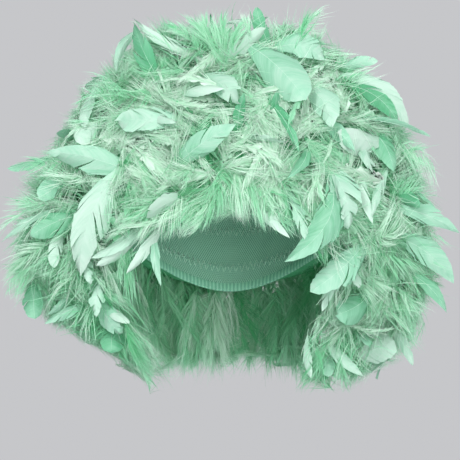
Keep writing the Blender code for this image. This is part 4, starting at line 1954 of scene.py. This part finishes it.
    def down_of_vanes(self, vanes: Vanes, luck: Luck) -> Strands:
        """The loose down at the foot of each smooth feather.

        Args:
            vanes: The feathers.
            luck: Where chance comes from.

        Returns:
            The strands.
        """
        count, each = vanes.quills.count(), self.vane_down
        along = luck.uniform(0.0, self.foot_share, (count, each))
        hand = np.where(luck.random((count, each)) < 0.5, -1.0, 1.0)
        place, ahead, side, out = vanes.quills.frame_at(along)
        tilt = luck.normal(0, 0.5, along.shape)
        sideways = side * (hand * np.cos(tilt))[..., None] + out * np.sin(tilt)[..., None]
        way = unit(ahead * 0.55 + sideways * 0.8)
        bend = ahead * 0.6 - sideways * 0.3 + luck.normal(0, 0.25, way.shape)
        length = luck.uniform(*self.foot_length, along.shape) * MILLIMETRE
        width = luck.uniform(*self.foot_width, along.shape) * MILLIMETRE
        tone = np.clip(vanes.tone[:, None] * 0.6 + 0.28 + luck.normal(0, 0.1, along.shape), 0, 1)
        flat = (-1, 3)
        return Strands(place.reshape(flat), way.reshape(flat), bend.reshape(flat), length.ravel(),
                       width.ravel(), out.reshape(flat), tone.ravel())

    def core_surface(self, row: int, turn: Array, across: Array) -> Array:
        """Points of a row's matted core.

        Args:
            row: The row's number.
            turn: Their turns.
            across: Their places round the core's section, as angles.

        Returns:
            The points.
        """
        middle, half = self.cap.middle_of(row), self.cap.pitch() * self.core_half
        if row == 0:
            middle, half = self.tuft_core
        share = middle + half * np.cos(across)
        foot = self.cap.cap_point(turn, np.clip(share, 0.004, 1.0), 0.6 * MILLIMETRE)
        out = self.cap.outward(turn, np.clip(share, 0.004, 1.0))
        room = np.full(turn.shape, 0.02)
        for _ in range(8):
            fill = self.form.fill(foot + out * room[..., None])
            room = np.clip(room * (1 + 0.9 * (0.97 - fill) * 2.2), *self.core_room)
        lumps = 1 + 0.16 * np.sin(turn * 11 + row) + 0.12 * np.sin(turn * 23 + across * 2 + row * 2)
        height = room * self.core_height * np.clip(np.sin(across), 0, 1) ** 0.55 * lumps
        return foot + out * height[..., None]

    def make_core(self, row: int) -> Patch:
        """A row's matted core, an uneven tube round the cap.

        Args:
            row: The row's number.

        Returns:
            Its surface.
        """
        around, section = self.core_grid
        angle = np.linspace(0, math.pi, section)
        turn, across = np.meshgrid(np.arange(around) / around * FULL_TURN, angle)
        return WigCap().ring_patch(self.core_surface(row, turn, across), True, 1.0)

    def make_fuzz(self, row: int, luck: Luck) -> Strands:
        """Short down that stands on a row's core.

        Args:
            row: The row's number.
            luck: Where chance comes from.

        Returns:
            The strands.
        """
        count = self.fuzz_a_row
        turn = luck.uniform(0, FULL_TURN, count)
        across = luck.uniform(0.12, math.pi - 0.12, count)
        root = self.core_surface(row, turn, across)
        out = self.cap.outward(turn, np.full(count, self.cap.middle_of(row)))
        hangs = float(row == len(ROWS) - 1)
        way = unit(out * (1 - 0.6 * hangs) + DOWNWARD * hangs + luck.normal(0, 0.6 - 0.3 * hangs, out.shape))
        bend = DOWNWARD * 0.3 + luck.normal(0, 0.35, out.shape)
        length = luck.uniform(*self.fuzz_length, count) * (1 + 0.6 * hangs) * MILLIMETRE
        width = luck.uniform(*self.fuzz_width, count) * MILLIMETRE
        tone = np.clip(luck.normal(*self.fuzz_tone, count), 0, 1)
        return Strands(root, way, bend, length, width, unit(out + luck.normal(0, 0.6, out.shape)), tone)

    def trimmed(self, strands: Strands, vanes: Vanes, luck: Luck) -> Strands:
        """The strands but for those outside the outline, over the opening or over a smooth feather.

        Args:
            strands: The strands.
            vanes: The smooth feathers.
            luck: Where chance comes from.

        Returns:
            The strands that stay.
        """
        middle, tip = strands.at(0.5), strands.at(1.0)
        low, high = self.buried_heights
        buried = (self.form.fill(middle) < self.buried_middle) & (self.form.fill(tip) < self.buried_tip)
        buried &= ~self.form.over_face(tip, self.opening_gap) & (tip[:, 2] > low) & (tip[:, 2] < high)
        kept = strands.chosen(~buried | (luck.random(len(buried)) < self.buried_kept))
        for share, margin in self.outline_margins:
            place = kept.at(share)
            pixel = self.view.pixels_of(place)
            slack = luck.uniform(-1.5, margin**0.5, len(pixel)) ** 2 - 2.0
            x, y = pixel.T
            slack += self.outline_locks * np.sin(0.42 * x + 0.9 * np.sin(0.31 * y)) * np.sin(0.37 * y + 1.3)
            outside = ~self.outline.between(pixel, self.outline.edges, slack)
            outside |= (pixel[:, 1] > self.lowest_pixel)
            outside |= (place < REACH[0]).any(1) | (place > REACH[1]).any(1)
            shift = luck.uniform(-9.0, 1.0, len(pixel))
            over_face = self.outline.between(pixel, self.outline.face, shift)
            kept = kept.chosen(~outside & ~(over_face & (place[:, 1] < self.opening_depth)))
        return kept.chosen(~self.covering(kept, vanes) | (luck.random(len(kept.root)) < self.covering_kept))

    def covering(self, strands: Strands, vanes: Vanes) -> Array:
        """Whether each strand lies over a smooth feather, as seen from outside.

        Args:
            strands: The strands.
            vanes: The smooth feathers.

        Returns:
            Whether each strand does.
        """
        covers = np.zeros(len(strands.root), bool)
        low, high = self.covering_height
        along = np.broadcast_to(np.linspace(0.50, 0.96, 6), (vanes.quills.count(), 6))
        place, *_ = vanes.quills.frame_at(along)
        normal = self.form.normal(place[:, 3])
        normal = np.where(vanes.seen[:, None], np.array([0.0, -1.0, 0.0]), normal)
        for share in (0.45, 1.0):
            spot = strands.at(share)
            for number, (samples, way) in enumerate(zip(place, normal)):
                reach = vanes.width[number] / 2 * 0.85
                near = np.flatnonzero(np.abs(spot - samples[3]).max(1) < self.covering_near)
                gap = spot[near, None] - samples[None]
                height = gap @ way
                aside = np.linalg.norm(gap - height[..., None] * way, axis=-1)
                covers[near[((aside < reach) & (height > low) & (height < high)).any(1)]] = True
        return covers

    def off_face(self, quills: Quills, margin: float = -6.0) -> Array:
        """Whether each shaft stays so many pixels clear of the opening that the photograph shows."""
        places, *_ = quills.frame_at(np.broadcast_to(np.array([0.55, 0.8, 1.0]), (quills.count(), 3)))
        inside = self.outline.between(self.view.pixels_of(places), self.outline.face, margin)
        return ~(inside & (places[..., 1] < self.opening_depth)).any(1)

    def within_outline(self, quills: Quills, margin: float) -> Array:
        """Whether each shaft stays so many pixels inside the outline that the photograph shows."""
        places, *_ = quills.frame_at(np.broadcast_to(np.array([0.4, 0.7, 1.0]), (quills.count(), 3)))
        return self.outline.between(self.view.pixels_of(places), self.outline.edges, -margin).all(1)

    def tidy(self, patch: Patch) -> Patch:
        """The patch with nothing in the cap's hollow, and no loose points."""
        points = self.cap.keep_out(patch.points, 1.2 * MILLIMETRE)
        return Patch(points, patch.quads, patch.triangles, patch.spots, patch.tones).without_loose_points()

    def batches(self, centres: Array, luck: Luck) -> list[Batch]:
        """All the plumes of down.

        Args:
            centres: The whorls, on the form's surface.
            luck: Where chance comes from.

        Returns:
            The plumes of the whorls, the hem and the fringe, and those that the photograph shows.
        """
        plumes = self.whorl_quills(centres, self.plume_burst, luck)
        plumes = plumes.chosen(~self.form.over_face(plumes.points[:, 3], -0.004))
        hem, fringe = self.hanging_quills(self.hem, luck), self.hanging_quills(self.fringe, luck)
        made = []
        for quills, look in ((plumes, self.plume_look), (hem, self.hem_look), (fringe, self.fringe_look)):
            quills = quills.chosen(self.off_face(quills))
            count = quills.count()
            barb = luck.uniform(*look.barb, count)
            tone = self.lit(quills, luck.normal(*look.tone, count))
            made.append(Batch(quills, barb, tone, np.ones(count, bool)))
        quills, barb, tone = self.seen_plumes()
        return made + [Batch(quills, barb, tone, barb < self.sheet_barb)]

    def plume_down(self, row: int, batches: Sequence[Batch],
                   luck: Luck) -> tuple[list[Strands], list[Patch]]:
        """The down of a row's plumes.

        Args:
            row: The row's number.
            batches: All the plumes.
            luck: Where chance comes from.

        Returns:
            The strands, and the soft inner sheets.
        """
        strands, sheets = [], []
        for quills, barb, tone, sheeted in batches:
            mine = self.cap.row_of(quills.points[:, 0]) == row
            if mine.any():
                strands.append(DownPlumes().make(quills.chosen(mine), barb[mine], tone[mine], luck))
            mine = mine & sheeted & (quills.points[:, 3, 2] > self.sheet_lowest)
            mine = mine & self.within_outline(quills, self.sheet_margin)
            mine = mine & self.off_face(quills, self.sheet_gap)
            if mine.any():
                sheets.append(self.sheets(quills.chosen(mine), barb[mine], tone[mine], luck))
        return strands, sheets

    def down_parts(self, name: str, loose: Strands) -> dict[str, Patch]:
        """The surfaces of a row's strands, in three pieces if they are many.

        Args:
            name: The row's name.
            loose: Its strands.

        Returns:
            The surfaces, by the names of their pieces.
        """
        if len(loose.root) <= self.strands_to_split:
            return {f"{name}_down": loose.patch()}
        sides = np.where(loose.root[:, 0] < 0, "left", "right")
        sides[loose.root[:, 1] > self.back_from] = "back"
        split = ("left", "right", "back")
        return {f"{name}_down_{side}": loose.chosen(sides == side).patch() for side in split}

    def build(self) -> list[bpy.types.Object]:
        """Builds all the feathers, row by row.

        Returns:
            The pieces.
        """
        luck = np.random.default_rng(self.seed)
        centres = self.whorls(luck)
        batches = self.batches(centres, luck)
        LOG.info("%d whorls, %d plumes", len(centres), sum(batch.quills.count() for batch in batches))
        vanes = Vanes.join([self.seen_vanes(luck), self.loose_vanes(centres, luck)])
        down, vane, core = DownFinish().make(), VaneFinish().make(), ShadedCoreFinish().make()
        vane_rows = self.cap.row_of(vanes.quills.points[:, 0])
        pieces = []
        for row, name in enumerate(ROWS):
            fuzz = self.make_fuzz(row, luck)
            strands, sheets = self.plume_down(row, batches, luck)
            strands.insert(0, fuzz)
            own = vanes.chosen(vane_rows == row)
            if own.quills.count():
                strands.append(self.down_of_vanes(own, luck))
                smooth = Patch.join([VaneMaker().vane(own, luck), VaneMaker().shafts(own)])
                pieces.append(self.tidy(smooth).to_object(f"{name}_vanes", vane))
                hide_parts(name)
            loose = self.trimmed(Strands.join(strands), vanes, luck)
            parts = {f"{name}_sheets": Patch.join(sheets)} | self.down_parts(name, loose)
            for part_name, part in parts.items():
                piece = self.tidy(part).to_object(part_name, down)
                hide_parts(name)
                pieces.append(piece)
            pieces.append(self.make_core(row).to_object(f"{name}_core", core))
            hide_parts(name)
            LOG.info("%s: %d strands of down", name, len(loose.root))
        return pieces


def corners(box: tuple[Vector, Vector]) -> list[list[float]]:
    """A box's two corners as plain lists."""
    return [list(corner) for corner in box]


def main() -> None:
    """Builds the wig's looks."""
    logging.basicConfig(level=logging.INFO, format="%(message)s")
    Studio().build()
    pieces = WigCap().build() + Plumage().build()
    for piece in pieces:
        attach(piece, "root")
        LOG.info("%s: %d faces", piece.name, len(piece.data.polygons))


if __name__ == "__main__":
    main()
